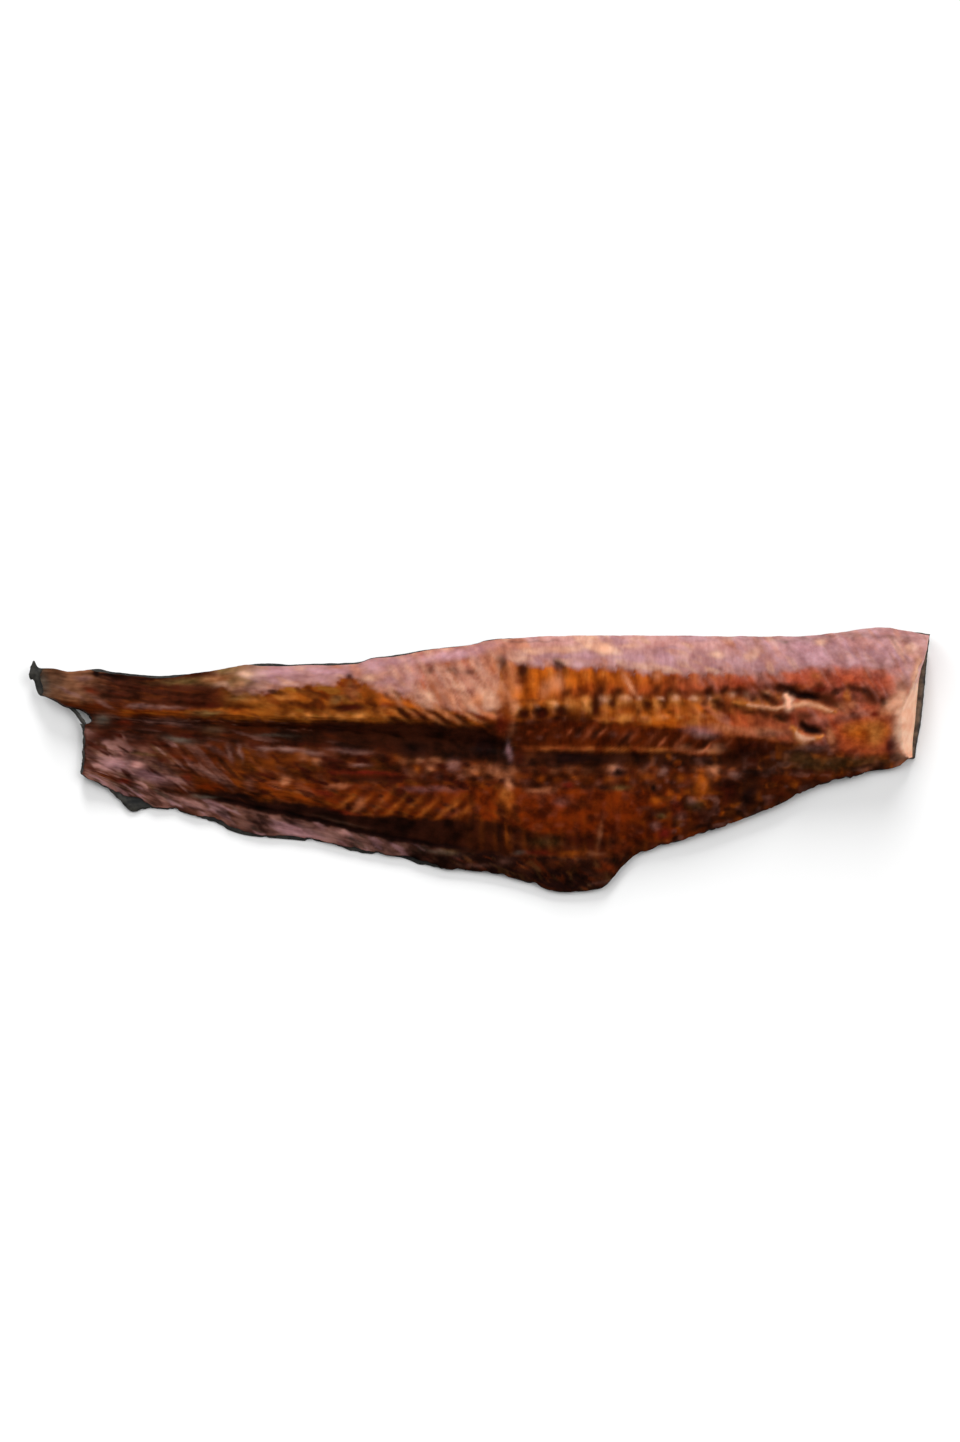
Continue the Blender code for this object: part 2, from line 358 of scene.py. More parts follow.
# where the tissue changes
fleshLines = {
    "fringeTop": {
        1: 500, 61: 470, 89: 421, 134: 391, 184: 365, 245: 320, 301: 282, 356: 237, 412: 195, 467: 169,
        545: 139, 634: 132, 745: 154, 812: 218, 999: 293,
    },
    "darkTop": {
        1: 508, 61: 485, 134: 398, 184: 383, 223: 376, 258: 353, 301: 338, 345: 316, 367: 293, 412: 286,
        489: 282, 525: 267, 556: 229, 678: 199, 745: 180, 999: 312,
    },
    "lowerSeam": {
        1: 556, 61: 538, 134: 511, 189: 481, 245: 451, 301: 425, 412: 410, 467: 402, 545: 395, 701: 391,
        745: 380, 812: 350, 999: 387,
    },
    "blackBottom": {
        1: 635, 61: 617, 112: 598, 189: 571, 245: 560, 334: 545, 395: 526, 423: 508, 484: 500, 523: 485,
        556: 477, 745: 477, 812: 470, 999: 485,
    },
    "blackTop": {
        1: 680, 61: 665, 89: 662, 212: 654, 334: 643, 467: 635, 501: 620, 523: 590, 538: 545, 556: 534,
        701: 530, 745: 519, 778: 530, 812: 568, 856: 560, 999: 519,
    },
    "netBottom": {
        1: 684, 61: 669, 212: 658, 334: 647, 412: 647, 512: 632, 538: 647, 573: 658, 623: 654, 647: 639,
        701: 624, 745: 605, 812: 583, 845: 568, 923: 530, 999: 523,
    },
    "netTop": {
        1: 733, 61: 722, 167: 703, 223: 695, 301: 695, 334: 688, 412: 699, 456: 692, 501: 684, 518: 688,
        529: 714, 556: 726, 634: 737, 745: 744, 812: 756, 889: 737, 999: 707,
    },
    "pinkBottom": {
        1: 951, 178: 876, 214: 801, 228: 763, 258: 759, 278: 782, 301: 789, 334: 786, 351: 816, 367: 805,
        385: 778, 412: 752, 434: 726, 456: 703, 489: 688, 512: 684, 519: 756, 525: 861, 536: 861, 567: 857,
        634: 850, 678: 838, 723: 827, 778: 827, 823: 835, 845: 846, 873: 861, 912: 865, 939: 850, 962: 816,
        974: 763, 999: 756,
    },
}

# zones: between two lines, how soft the border is in metres, and each tissue's share in percent along u
fleshZones = [
    ("belly", "fringeTop", 0.002, {
        "plum": {61: 60, 112: 45, 189: 22, 256: 65, 389: 85, 445: 50, 489: 30, 545: 10, 999: 0},
        "coal": {134: 0, 189: 15, 245: 15, 389: 20, 456: 75, 523: 88, 678: 70, 767: 70, 812: 60, 999: 40},
    }),
    ("fringeTop", "darkTop", 0.0024, {
        "coal": {156: 0, 189: 70, 334: 90, 445: 85, 523: 60, 556: 35, 678: 15, 999: 40},
        "wine": {189: 0, 445: 20, 545: 50, 634: 60, 745: 30},
    }),
    ("darkTop", "lowerSeam", 0.003, {
        "plum": {61: 85, 106: 55, 134: 35, 173: 8, 189: 0, 999: 0},
        "rust": {156: 0, 206: 20, 258: 70, 345: 90, 678: 90, 734: 50, 789: 0},
        "gold": {217: 0, 245: 15, 323: 10, 351: 0},
    }),
    ("lowerSeam", "blackBottom", 0.003, {
        "plum": {61: 85, 112: 40, 145: 15, 178: 5, 201: 0, 999: 0},
        "rust": {
            134: 5, 195: 20, 228: 25, 258: 40, 328: 50, 351: 40, 412: 45, 523: 70, 589: 35, 678: 50,
            745: 80, 789: 10,
        },
        "gold": {223: 0, 245: 10, 323: 10, 351: 5, 999: 0},
        "wine": {189: 0, 245: 25, 351: 45, 456: 35, 545: 25, 745: 10, 789: 50, 999: 20},
    }),
    ("blackBottom", "blackTop", 0.0032, {
        "plum": {61: 30, 167: 15, 234: 0},
        "wine": {61: 20, 101: 60, 212: 50, 334: 60, 999: 35},
        "coal": {
            61: 30, 89: 70, 156: 60, 245: 15, 301: 20, 334: 50, 523: 65, 556: 50, 623: 75, 678: 60, 745: 55,
            845: 35, 889: 5, 999: 0,
        },
    }),
    ("blackTop", "netBottom", 0.0028, {
        "wine": {467: 0, 556: 60, 634: 40, 745: 35, 812: 30, 923: 0},
        "rust": {534: 10, 567: 35, 634: 60, 745: 60, 889: 50, 999: 50},
    }),
    ("netBottom", "netTop", 0.0024, {
        "rust": {61: 20, 123: 60, 301: 70, 545: 85, 745: 80, 856: 70, 999: 50},
        "wine": {61: 30, 189: 25, 256: 0},
        "amber": {84: 0, 106: 10, 189: 20, 245: 50, 412: 50, 523: 60, 545: 85, 745: 90, 856: 50, 999: 70},
        "gold": {189: 0, 267: 30, 412: 30, 445: 0},
        "ember": {734: 0, 789: 30, 889: 50, 999: 50},
        "rose": {745: 0, 812: 5, 889: 10, 999: 10},
    }),
    ("netTop", "pinkBottom", 0.0044, {
        "rust": {12: 20, 56: 25, 112: 10, 217: 20, 258: 60, 999: 90},
        "wine": {67: 0, 112: 55, 201: 50, 234: 15, 258: 0, 999: 0},
        "gold": {7: 70, 67: 50, 95: 0, 206: 0, 245: 50, 334: 30, 395: 10, 445: 0},
        "amber": {61: 0, 201: 0, 245: 25, 334: 35, 412: 70, 512: 95, 634: 100, 734: 85, 812: 50, 999: 30},
        "plum": {1: 30, 67: 35, 101: 10, 189: 5, 234: 0},
        "peach": {423: 0, 456: 50, 516: 60, 525: 10, 545: 0},
        "ember": {589: 0, 678: 20, 745: 50, 812: 88, 999: 88},
        "rose": {701: 0, 745: 8, 834: 20, 912: 18, 999: 35},
    }),
    # lilac along the back is partly painted sheen: the lavender shine on the rounded back
    ("pinkBottom", "back", 0.0046, {
        "rose": {195: 0, 217: 60, 258: 90, 999: 100},
        "peach": {206: 25, 239: 30, 258: 20, 406: 35, 445: 80, 518: 85, 539: 20, 634: 0},
        "lilacAndSheen": {234: 0, 258: 50, 389: 50, 412: 35, 489: 40, 523: 15, 745: 20, 856: 50, 999: 30},
        "olive": {134: 40, 206: 95, 245: 70, 273: 25, 345: 20, 412: 0},
    }),
]

# uneven streaks: between two lines, from and to u, their length and width in millimetres,
# how far they lean down towards the head, and each tissue's amount in percent
fleshStreaks = [
    ("netTop", "back", 73, 195, 9, 1.8, 0.1, {"wine": 50, "amber": 15, "coal": 50}),
    ("netTop", "pinkBottom", 228, 439, 4.5, 2.2, 0.15, {"rust": 50, "gold": 40, "wine": 50, "honey": 10}),
    ("netBottom", "netTop", 101, 523, 5, 1.2, 0.1, {"wine": 35, "gold": 40}),
    ("blackBottom", "blackTop", 67, 339, 9, 1.6, 0.12, {"plum": 40, "coal": 50, "rust": 35}),
    ("fringeTop", "blackBottom", 61, 167, 4.5, 3.4, 0.55,
     {"rose": 40, "wine": 90, "olive": 30, "plum": 20}),
    ("fringeTop", "blackBottom", 156, 245, 5, 3.2, 0.8, {"wine": 80, "plum": 30, "coal": 45}),
    ("darkTop", "blackBottom", 228, 545, 5, 2.2, 0.15,
     {"wine": 100, "gold": 15, "amber": 20, "plum": 10, "coal": 15}),
    ("belly", "fringeTop", 61, 462, 4.5, 3.4, 0.3, {"coal": 50, "greyAndGlint": 40, "rose": 15, "lilacAndSheen": 30}),
    # lilac in the streaks along the back below is partly painted sheen
    ("pinkBottom", "back", 234, 395, 7, 2.4, 0.12, {"lilacAndSheen": 40, "peach": 35, "fat": 20}),
    ("netTop", "back", 412, 523, 3, 4, 0.8, {"ember": 62, "lilacAndSheen": 30, "fat": 22, "amber": 50}),
    ("pinkBottom", "back", 528, 823, 6, 2.6, 0.12, {"lilacAndSheen": 50, "peach": 40, "fat": 45}),
    ("pinkBottom", "back", 778, 999, 3.4, 3, 0.3, {"lilacAndSheen": 60, "fat": 30, "peach": 25, "plum": 45}),
    ("netTop", "pinkBottom", 734, 999, 3, 3, 0.6, {"amber": 40, "wine": 20, "rose": 32}),
    ("netBottom", "netTop", 745, 934, 4, 2.5, 0.4, {"rust": 50, "rose": 20, "gold": 30, "ember": 55}),
    ("belly", "fringeTop", 445, 812, 2.5, 2.2, 0.3, {"coal": 50, "olive": 30, "rust": 40}),
    ("belly", "fringeTop", 134, 245, 5, 3, 0.3, {"coal": 40}),
]

# dabs of tissue: u, v, half length and half width in millimetres, amount in percent, and where needed the
# rise in millimetres and the turn in degrees
fleshDabs = [
    ("amber", [
        (117, 680, 8, 1.2, 28, 0.2), (156, 680, 9, 1.2, 32, 0.2), (221, 680, 9, 1.6, 60, 0.2),
        (576, 744, 3, 2.2, 50), (705, 650, 9, 1.6, 50, 0.1, -4), (905, 744, 1.8, 3.4, 70, 0.3),
        (245, 726, 5, 1.6, 50), (295, 737, 7, 2, 50, 0.1, 4), (395, 718, 5, 2, 80, 0, -15),
        (423, 707, 5, 1.6, 80, 0, -18), (401, 677, 3.2, 1.4, 80, 0.3), (473, 677, 3, 1.2, 60, 0.2),
        (744, 410, 3.2, 5.5, 80, 0.2, -8), (695, 350, 3, 2.4, 50), (531, 350, 3, 4.5, 60, 0.2),
        (529, 226, 0.9, 6, 35), (605, 150, 6.5, 1.1, 35, 0.1), (856, 778, 4, 2, 70), (267, 492, 5, 1.6, 20),
        (289, 376, 5, 2, 25), (301, 511, 9, 1.6, 20), (467, 865, 10, 1.5, 50, 0, 4), (517, 846, 2, 3, 50),
        (485, 816, 4, 1.6, 30),
    ]),
    ("rust", [
        (201, 398, 5.5, 1.4, 70), (69, 763, 3.6, 1.6, 80, -0.1, -20), (162, 508, 9, 1.2, 40, 0, -8),
        (434, 673, 7, 1.2, 50), (641, 94, 4.4, 2, 70), (658, 169, 6.5, 2.4, 60, 0, 20),
        (921, 553, 7, 2, 70, 0, 3), (896, 560, 3, 3, 50), (798, 786, 5, 1.6, 60),
        (845, 432, 9, 2, 40, 0, 8),
    ]),
    ("ember", [
        (527, 635, 2.2, 3.6, 50), (512, 665, 4, 1.4, 40, 0, -20), (912, 583, 8.5, 6.8, 85, 0.1, 3),
        (938, 586, 8.5, 6.8, 85, 0.1, 3), (789, 793, 5, 2.4, 60), (856, 808, 8, 3, 60),
        (906, 801, 8, 3, 60), (943, 786, 5, 3, 50), (959, 838, 4, 2.4, 40, 0, 30),
    ]),
    ("amber", [(918, 609, 8, 4.4, 90, 0, 3), (941, 605, 7, 4.6, 90, 0, 3), (925, 560, 9, 2.4, 30, 0, 3)]),
    ("olive", [
        (209, 801, 7, 2, 70, 0, 8), (245, 805, 5, 2.4, 30), (237, 733, 5.5, 1.6, 50),
        (342, 726, 3.2, 1.6, 40, 0, 20), (184, 797, 15, 1.5, 80, 0, 2), (201, 677, 7, 1.1, 70, 0.2),
        (465, 154, 4, 1.3, 60, 0.1), (901, 489, 20, 2.6, 40, 0, 4), (856, 511, 6, 3, 35),
        (701, 289, 2.4, 1, 60), (573, 192, 6.5, 2, 40), (656, 398, 3.4, 0.9, 60), (739, 331, 4, 2.4, 40),
        (356, 789, 1.2, 2, 20), (203, 613, 4, 2, 30), (128, 523, 6, 0.8, 50, 0, -8),
    ]),
    ("plum", [
        (123, 703, 5, 0.9, 90, 0.2), (154, 699, 8, 0.8, 60, 0.2, -2), (61, 808, 3.4, 0.9, 60, 0.1),
        (45, 756, 6, 0.8, 60, 0.1, -24), (83, 714, 5, 0.9, 50, 0.1, -30), (165, 639, 9, 1.4, 40, 0, -8),
        (134, 643, 3, 1, 50, 0.1), (223, 526, 1, 3.4, 50, 0.2, 18), (235, 530, 0.9, 3.6, 60, 0.2, 14),
        (206, 538, 6, 1, 30, 0.1, -25), (195, 455, 5, 1, 35, 0.1, -35), (208, 436, 5, 1, 30, 0.1, -35),
        (261, 545, 4, 1, 80, 0.2, -4), (287, 541, 5, 1.2, 90, 0.3, -4), (314, 526, 5, 1.1, 70, 0.2, -8),
        (358, 534, 9, 1.2, 70, 0.2, -5), (367, 481, 4, 0.9, 70, 0.2), (912, 665, 7, 1.6, 35, 0.1, 12),
        (869, 549, 7, 1.6, 60, 0.1, 5), (917, 703, 3, 1.6, 30, 0.1, 20), (781, 444, 2.4, 2.4, 70, 0.2, -30),
        (747, 594, 5, 1.4, 60, 0.1, -8), (817, 602, 7, 1.4, 40, 0.1), (704, 462, 1.6, 2, 60, 0.1),
        (723, 289, 2, 2, 40, 0.2), (906, 895, 6, 3, 25), (651, 462, 3, 2, 60, 0.2), (496, 102, 7, 1, 40),
        (528, 117, 3, 2, 40), (634, 38, 6, 1, 30, 0, 10), (245, 414, 2, 3, 20),
    ]),
    # grey dabs at 82, 654, at 165, 579, at 276, 594 and at 532, 556 are painted glints on dark flesh and on
    # the fold
    ("greyAndGlint", [
        (532, 556, 1.1, 3, 60, 0.3, -8), (34, 801, 3, 5, 25), (206, 613, 5, 1.4, 30),
        (165, 579, 7, 1.4, 85, 0.2, -8), (276, 594, 9, 0.8, 70, 0.1, -2), (82, 654, 3.6, 2.4, 85),
        (12, 801, 4.5, 9, 85, 0, 20), (197, 361, 5.5, 0.9, 90, 0.1, -3), (456, 154, 9, 1.2, 50, 0.1, -6),
        (95, 406, 4, 1.6, 30, 0, -30), (545, 150, 3, 0.9, 70), (345, 267, 14, 0.8, 35, 0.1, -13),
        (834, 947, 3.2, 0.8, 50), (556, 947, 13, 0.5, 50), (889, 914, 5, 3, 30),
        (856, 947, 9, 1.2, 45, 0, 3), (923, 966, 10, 1.2, 40), (967, 959, 8, 1.6, 40, 0, -3),
        (767, 545, 3, 1.4, 50),
    ]),
    ("honey", [
        (618, 714, 2.4, 2.8, 70, 0.2), (598, 714, 2.2, 2.2, 50, 0.2), (558, 711, 2, 2, 40, 0.2),
        (938, 590, 3, 5, 55), (907, 624, 3, 2, 35), (934, 628, 5, 2.2, 40), (873, 816, 3, 1.6, 40),
        (905, 752, 1.3, 2.6, 50, 0.1), (529, 365, 2.4, 3.4, 30, 0.2), (621, 688, 1.6, 1.8, 60, 0.1),
        (284, 737, 5, 1.5, 40, 0, 4), (245, 729, 4, 1.5, 35), (395, 684, 3.4, 1.8, 40, 0.3),
        (734, 635, 4, 1.4, 60, 0.1), (807, 718, 2, 2.2, 60, 0.2), (787, 714, 2.4, 2.2, 50, 0.2),
        (763, 703, 2, 2, 30), (523, 801, 1.4, 4, 30),
    ]),
    ("rose", [
        (119, 481, 3, 1.6, 70, 0.2), (95, 492, 5, 1.4, 40, 0.1, 30), (78, 481, 3.6, 1.4, 50, 0.2),
        (162, 425, 4.5, 1.1, 50, 0.1, -14), (85, 564, 1.8, 1, 60, 0.2), (471, 481, 2.6, 2.4, 30, 0.1),
        (736, 346, 2, 1.6, 20, 0.2), (695, 252, 2, 1.6, 20, 0.1), (589, 342, 3, 1.4, 10),
        (178, 338, 6, 1.4, 40, 0.1, -14), (348, 226, 3, 1.2, 45, 0.1, -10),
        (312, 214, 9, 1.4, 20, 0.1, -14),
    ]),
    ("peach", [
        (529, 756, 2.4, 5, 40), (538, 703, 2, 3.2, 45, 0.1), (535, 620, 1.6, 3, 28, 0.1, -6),
        (533, 414, 1.6, 2.4, 60, 0.3), (523, 455, 5, 2.2, 45, 0.1), (492, 459, 4, 1.8, 35, 0.1, 20),
        (568, 387, 5, 1.2, 35, 0.1), (304, 511, 2, 1.6, 25, 0.1), (321, 500, 2, 1.5, 35, 0.2),
        (285, 421, 2.4, 1.6, 55, 0.3), (367, 331, 1.8, 2.6, 40, 0.1, -28), (452, 500, 1.9, 1.6, 40, 0.2),
        (433, 500, 1.8, 1.4, 35, 0.1), (445, 466, 1.8, 1.6, 40, 0.1), (417, 492, 1.8, 1.4, 25, 0.1),
        (425, 451, 2, 1.6, 25, 0.1), (345, 402, 4, 1.1, 35, 0.1, 2), (647, 470, 2, 1.6, 35, 0.2, 20),
        (759, 462, 2.6, 2.6, 50, 0.2, 40), (748, 534, 4.5, 1, 40, 0.1), (725, 545, 3, 1.3, 35, 0.1),
        (764, 545, 2.2, 2, 35, 0.1), (452, 748, 1.8, 6, 45, 0.2, 25), (469, 733, 1.8, 5, 45, 0.2, 25),
        (898, 703, 2.2, 1.6, 50, 0.1, 20), (209, 805, 7, 1.8, 35, 0, 8), (586, 793, 2.6, 4, 45),
        (541, 786, 2, 4, 30, 0.1), (574, 771, 2.4, 4, 40, 0.1, -30), (665, 786, 1.1, 5.4, 80, 0.2, 30),
        (695, 820, 2, 2, 60), (501, 726, 6, 2.4, 70, 0.1, 10), (359, 756, 2.6, 3, 25, 0.1),
        (395, 763, 5, 1.8, 25, 0.1, -15), (534, 838, 2.4, 4.4, 50, 0.2, 30), (801, 609, 12, 1.6, 30, 0.1),
        (764, 624, 8, 1.4, 40, 0.1, -6), (633, 218, 1, 5.5, 30, 0.1, -8), (628, 147, 4, 1, 20, 0.1),
        (839, 511, 1.4, 1.6, 36, 0.1), (909, 703, 2.4, 1.6, 50, 0.1, 30), (969, 643, 4, 12, 60, 0, 2),
        (981, 823, 1.8, 7, 60, 0, -12), (949, 684, 3, 2, 60, 0.1, 30), (954, 718, 4.5, 1.6, 80, 0.1, 35),
        (888, 586, 1.4, 4, 60, 0.2, 12),
    ]),
    ("wine", [
        (83, 590, 8, 2.6, 75, 0, 4), (123, 568, 9, 2.2, 60, 0, 5), (69, 530, 2.4, 5, 50),
        (551, 677, 2.2, 2.6, 70, -0.3), (569, 677, 2.6, 2.2, 70, -0.3), (592, 680, 3.4, 2.4, 70, -0.3),
        (608, 662, 4, 1.8, 40, -0.2), (628, 703, 2, 3.4, 70, -0.3), (356, 699, 7.5, 1.5, 95, -0.3, 3),
        (381, 752, 2.6, 5, 30, -0.1, 45), (548, 835, 2.2, 2.8, 80, -0.3), (589, 857, 1.4, 4, 70, -0.1, 40),
        (634, 763, 2.4, 4, 40, -0.1, -10), (525, 865, 1.8, 3.6, 50, -0.2, 20),
        (356, 816, 1.4, 1.2, 70, -0.2), (445, 835, 1.8, 1.4, 35, -0.1), (469, 838, 2.2, 1.4, 35, -0.1),
        (489, 831, 2.6, 1.4, 40, -0.1), (195, 707, 10, 1.2, 70, -0.1, -3), (178, 590, 7, 0.9, 80, -0.2, -6),
        (154, 613, 8, 1, 50, -0.1, -8), (301, 560, 13, 0.8, 80, -0.1, -2), (395, 549, 6, 2.4, 40, 0, -10),
        (544, 511, 2.2, 4, 80, -0.4), (701, 752, 6, 1.2, 20, 0, -3), (745, 752, 7, 1.6, 40, -0.2),
        (787, 752, 5.5, 1.8, 60, -0.4, -8), (817, 733, 3.4, 1.6, 80, -0.5, -30),
        (836, 774, 5, 1.4, 70, -0.3), (918, 767, 5, 1.6, 70, -0.4, -12), (932, 733, 2.4, 3, 70, -0.3, 30),
        (945, 718, 1.6, 1.6, 70, -0.3), (884, 718, 5, 2.4, 75, -0.8, -10), (834, 665, 4, 2, 60, -0.3),
        (798, 680, 5, 1.2, 60, -0.3), (784, 703, 3, 2, 50, -0.3), (765, 707, 2.4, 1.8, 60, -0.3),
        (815, 677, 2.4, 2.4, 60, -0.3), (789, 545, 9, 4, 60), (823, 538, 8, 4, 40),
        (612, 207, 6.5, 2.4, 60), (614, 338, 5, 2.4, 40), (374, 432, 13, 1, 60, -0.2, -1),
        (865, 624, 5, 1.2, 50, -0.6, -10), (906, 436, 7, 0.8, 50, 0, 4), (851, 462, 8, 0.8, 60, 0, -2),
        (584, 105, 10, 2, 40), (745, 293, 5, 3, 60), (734, 406, 5, 3, 40), (778, 387, 4, 5, 70),
    ]),
    # coal dabs that sink in, the pit beside the fold and the gapes towards the head, are near-black partly
    # as painted shade in their hollows
    ("coal", [
        (507, 545, 4.6, 4.2, 100, -2, -10), (426, 545, 6, 2.4, 60, -0.2), (339, 613, 4, 1.6, 50),
        (798, 372, 4.6, 7, 85, -0.2, -20), (806, 455, 6, 1.4, 70, -0.1), (75, 831, 1.2, 1.8, 100, 0.3),
        (89, 820, 9, 0.9, 90, 0, -3), (128, 808, 12, 0.9, 80), (598, 511, 8, 2.4, 90, -0.2),
        (758, 492, 4, 1.2, 60, -0.1), (228, 368, 8, 1, 80, -0.2, -8), (521, 229, 0.9, 6, 60, -0.2),
        (374, 425, 12, 0.8, 50, -0.2), (862, 739, 7, 1.6, 100, -2.4, -6), (844, 756, 4, 1.4, 80, -1.4, -25),
        (895, 759, 3, 1.2, 50, -0.8, 20), (868, 613, 5, 1.5, 100, -1.4, -12),
        (857, 635, 2.2, 1.3, 80, -0.8, -40), (859, 662, 4, 1.6, 50, -0.5),
        (832, 658, 2.4, 1.2, 70, -0.4, -20), (453, 105, 2.4, 1.2, 70, 0, -20),
        (428, 132, 2.4, 1.2, 80, 0, -25), (693, 398, 1.2, 1.6, 90, -0.3), (638, 398, 3, 1.2, 80, -0.3),
        (654, 455, 1.2, 1, 80, -0.2), (512, 150, 5, 1.2, 70, -0.2), (745, 252, 6, 1.4, 70, 0, 20),
        (61, 538, 0.8, 9, 70), (589, 26, 8, 1.6, 60), (517, 244, 3, 2, 40), (923, 474, 8, 0.8, 50, 0, 8),
    ]),
    ("ruby", [
        (107, 639, 3, 1.4, 35), (176, 432, 2, 2.2, 40, -0.1), (106, 421, 3, 1, 60, -0.1),
        (374, 451, 13, 0.9, 80, 0, -1), (328, 376, 5, 1.6, 60, 0, -20), (351, 305, 6, 0.8, 50, 0, -12),
        (598, 402, 2, 1.2, 80, -0.1), (567, 150, 5.5, 1.1, 50), (706, 226, 2.8, 2.2, 90, 0.2, 20),
        (523, 643, 2, 4.4, 60, -0.1), (956, 556, 2.6, 3.6, 95, -0.2), (965, 771, 2, 1.6, 80, -0.2),
        (936, 673, 1.6, 1.4, 80, -0.2), (719, 327, 3, 3, 50), (878, 767, 4, 1.2, 60, -0.2),
        (501, 658, 4, 1, 50, -0.1, -20), (765, 842, 1.6, 1.4, 35),
    ]),
    # lilac dabs along the back and on the fold beside the pit are partly painted sheen and painted highlight
    ("lilacAndSheen", [
        (96, 485, 6, 2.4, 45, 0, -8), (134, 440, 7, 2, 35, 0, -14), (533, 534, 1.3, 3.4, 55, 0.3, 6),
        (445, 391, 10, 1.2, 12), (873, 895, 14, 4, 40), (745, 613, 6, 1.6, 35, 0.1, -6),
        (273, 831, 7, 1.6, 80, 0, 3), (328, 831, 10, 1.4, 80), (398, 868, 10, 1.6, 60, 0, 6),
        (512, 932, 6, 2, 50, 0, 8), (469, 895, 14, 2.3, 90, 0, 8), (601, 895, 18, 1.4, 70),
        (701, 883, 20, 3, 70), (562, 868, 4, 1.6, 60), (609, 861, 4, 1.8, 70), (789, 868, 9, 2.6, 50),
        (823, 932, 5, 1.6, 40), (873, 876, 6, 3, 50), (912, 868, 7, 2.4, 60), (901, 932, 8, 3, 50),
        (856, 932, 4, 2, 50), (401, 801, 4, 1.4, 50), (425, 808, 3, 3, 40), (417, 763, 3, 1.4, 40),
        (939, 914, 4, 5, 40), (301, 229, 10, 2.2, 35, 0, -14), (287, 199, 5, 0.8, 50, 0, -8),
    ]),
    ("fat", [
        (639, 914, 3, 2.4, 70), (589, 914, 9, 1.6, 45), (556, 906, 4, 1.4, 50), (762, 895, 3, 1.6, 50),
        (801, 895, 4, 2, 40, 0, 30), (512, 726, 3, 3.4, 60, 0.1, 20), (445, 737, 2, 3, 60, 0.1, 30),
        (967, 643, 3.4, 11, 90, 0, 3), (956, 714, 3.4, 1.8, 70, 0, 30), (982, 831, 1.4, 7, 45, 0, -12),
        (976, 921, 3, 2, 40), (876, 944, 2.4, 1.4, 50), (378, 808, 3, 1.4, 50), (241, 823, 3, 1.2, 50),
        (214, 786, 3, 1, 30, 0, 10), (667, 929, 4, 1.2, 40), (617, 929, 3, 1, 40),
    ]),
]

# ridges of fat beside the gapes: path, half widths in millimetres, amount in percent, rise in millimetres
fleshRidges = [
    (
        "honey",
        [
            (781, 718), (792, 711), (806, 703), (828, 695), (845, 703), (858, 711), (869, 707), (881, 688),
            (892, 680),
        ],
        (0.8, 1.1, 1, 0.9, 1.2, 1.4, 1.4, 1.3, 0.8), 70, 0.4,
    ),
    (
        "fat",
        [(795, 707), (828, 695), (845, 703), (858, 711), (869, 707), (881, 690), (888, 682)],
        (0.5, 0.6, 0.9, 1, 0.9, 0.8, 0.5), 35, 0.2,
    ),
    # the next ridge is a raised pale lip painted as a white glint, a painted highlight
    ("fat", [(838, 746), (841, 722), (841, 695)], (0.8, 1.5, 1.4), 100, 0.8),
    (
        "honey",
        [(845, 620), (852, 594), (857, 575), (868, 579), (879, 590)],
        (1.1, 2, 2.1, 1.6, 0.8), 80, 0.4,
    ),
    ("fat", [(849, 605), (854, 586), (859, 575), (869, 579)], (0.7, 1.2, 1.3, 0.8), 55, 0.2),
]

# rows of beads in the net, one for each flake: from and to u, tissue, offset in flakes, millimetres below
# the seam, half width in flakes, half height in millimetres, amount in percent, rise in millimetres
netRows = [
    (536, 632, "honey", 0.02, 2.6, 0.32, 2.4, 95, 0.4), (536, 632, "fat", 0.02, 2.4, 0.15, 1.2, 30, 0.2),
    (536, 632, "wine", 0.50, 5.2, 0.44, 2.4, 88, -0.5), (536, 632, "peach", 0.95, 6.0, 0.16, 1.8, 40, 0.1),
    (536, 632, "wine", 0.22, 8.2, 0.36, 1.6, 72, -0.3), (536, 632, "plum", 0.75, 8.4, 0.2, 1.2, 35, 0.1),
    (536, 678, "rust", 0.30, 10.8, 0.24, 1.1, 70, 0.2), (536, 689, "ember", 0.80, 13.0, 0.20, 0.9, 35, 0.2),
    (536, 689, "plum", 0.45, 15.0, 0.18, 0.9, 30, 0.2), (632, 834, "honey", 0, 1.4, 0.34, 2.0, 100, 0.4),
    (632, 834, "fat", 0.02, 1.0, 0.2, 1.1, 50, 0.2), (632, 834, "wine", 0.42, 3.4, 0.30, 2.1, 82, -0.5),
    (632, 834, "honey", 0.97, 5.0, 0.20, 2.8, 75, 0.2), (632, 834, "ember", 0.97, 6.0, 0.3, 2.4, 30, 0),
    (632, 834, "wine", 0.66, 6.6, 0.24, 1.5, 50, -0.3), (632, 767, "honey", 0.10, 9.0, 0.44, 1.5, 85, 0.3),
    (632, 767, "peach", 0.35, 8.8, 0.2, 0.8, 40, 0.1),
]

# the same under the black band, all along it
dotRows = [
    ("peach", 0.1, 1.6, 0.26, 1.4, 24, 0.2), ("wine", 0.55, 2.2, 0.26, 1.6, 66, -0.3),
    ("amber", 0.3, 4.4, 0.26, 1.4, 42, 0.1), ("wine", 0.8, 5.4, 0.26, 1.5, 60, -0.3),
    ("plum", 0.65, 6.6, 0.2, 1.1, 30, 0.2), ("wine", 0.15, 7.9, 0.28, 1.1, 50, -0.3),
]


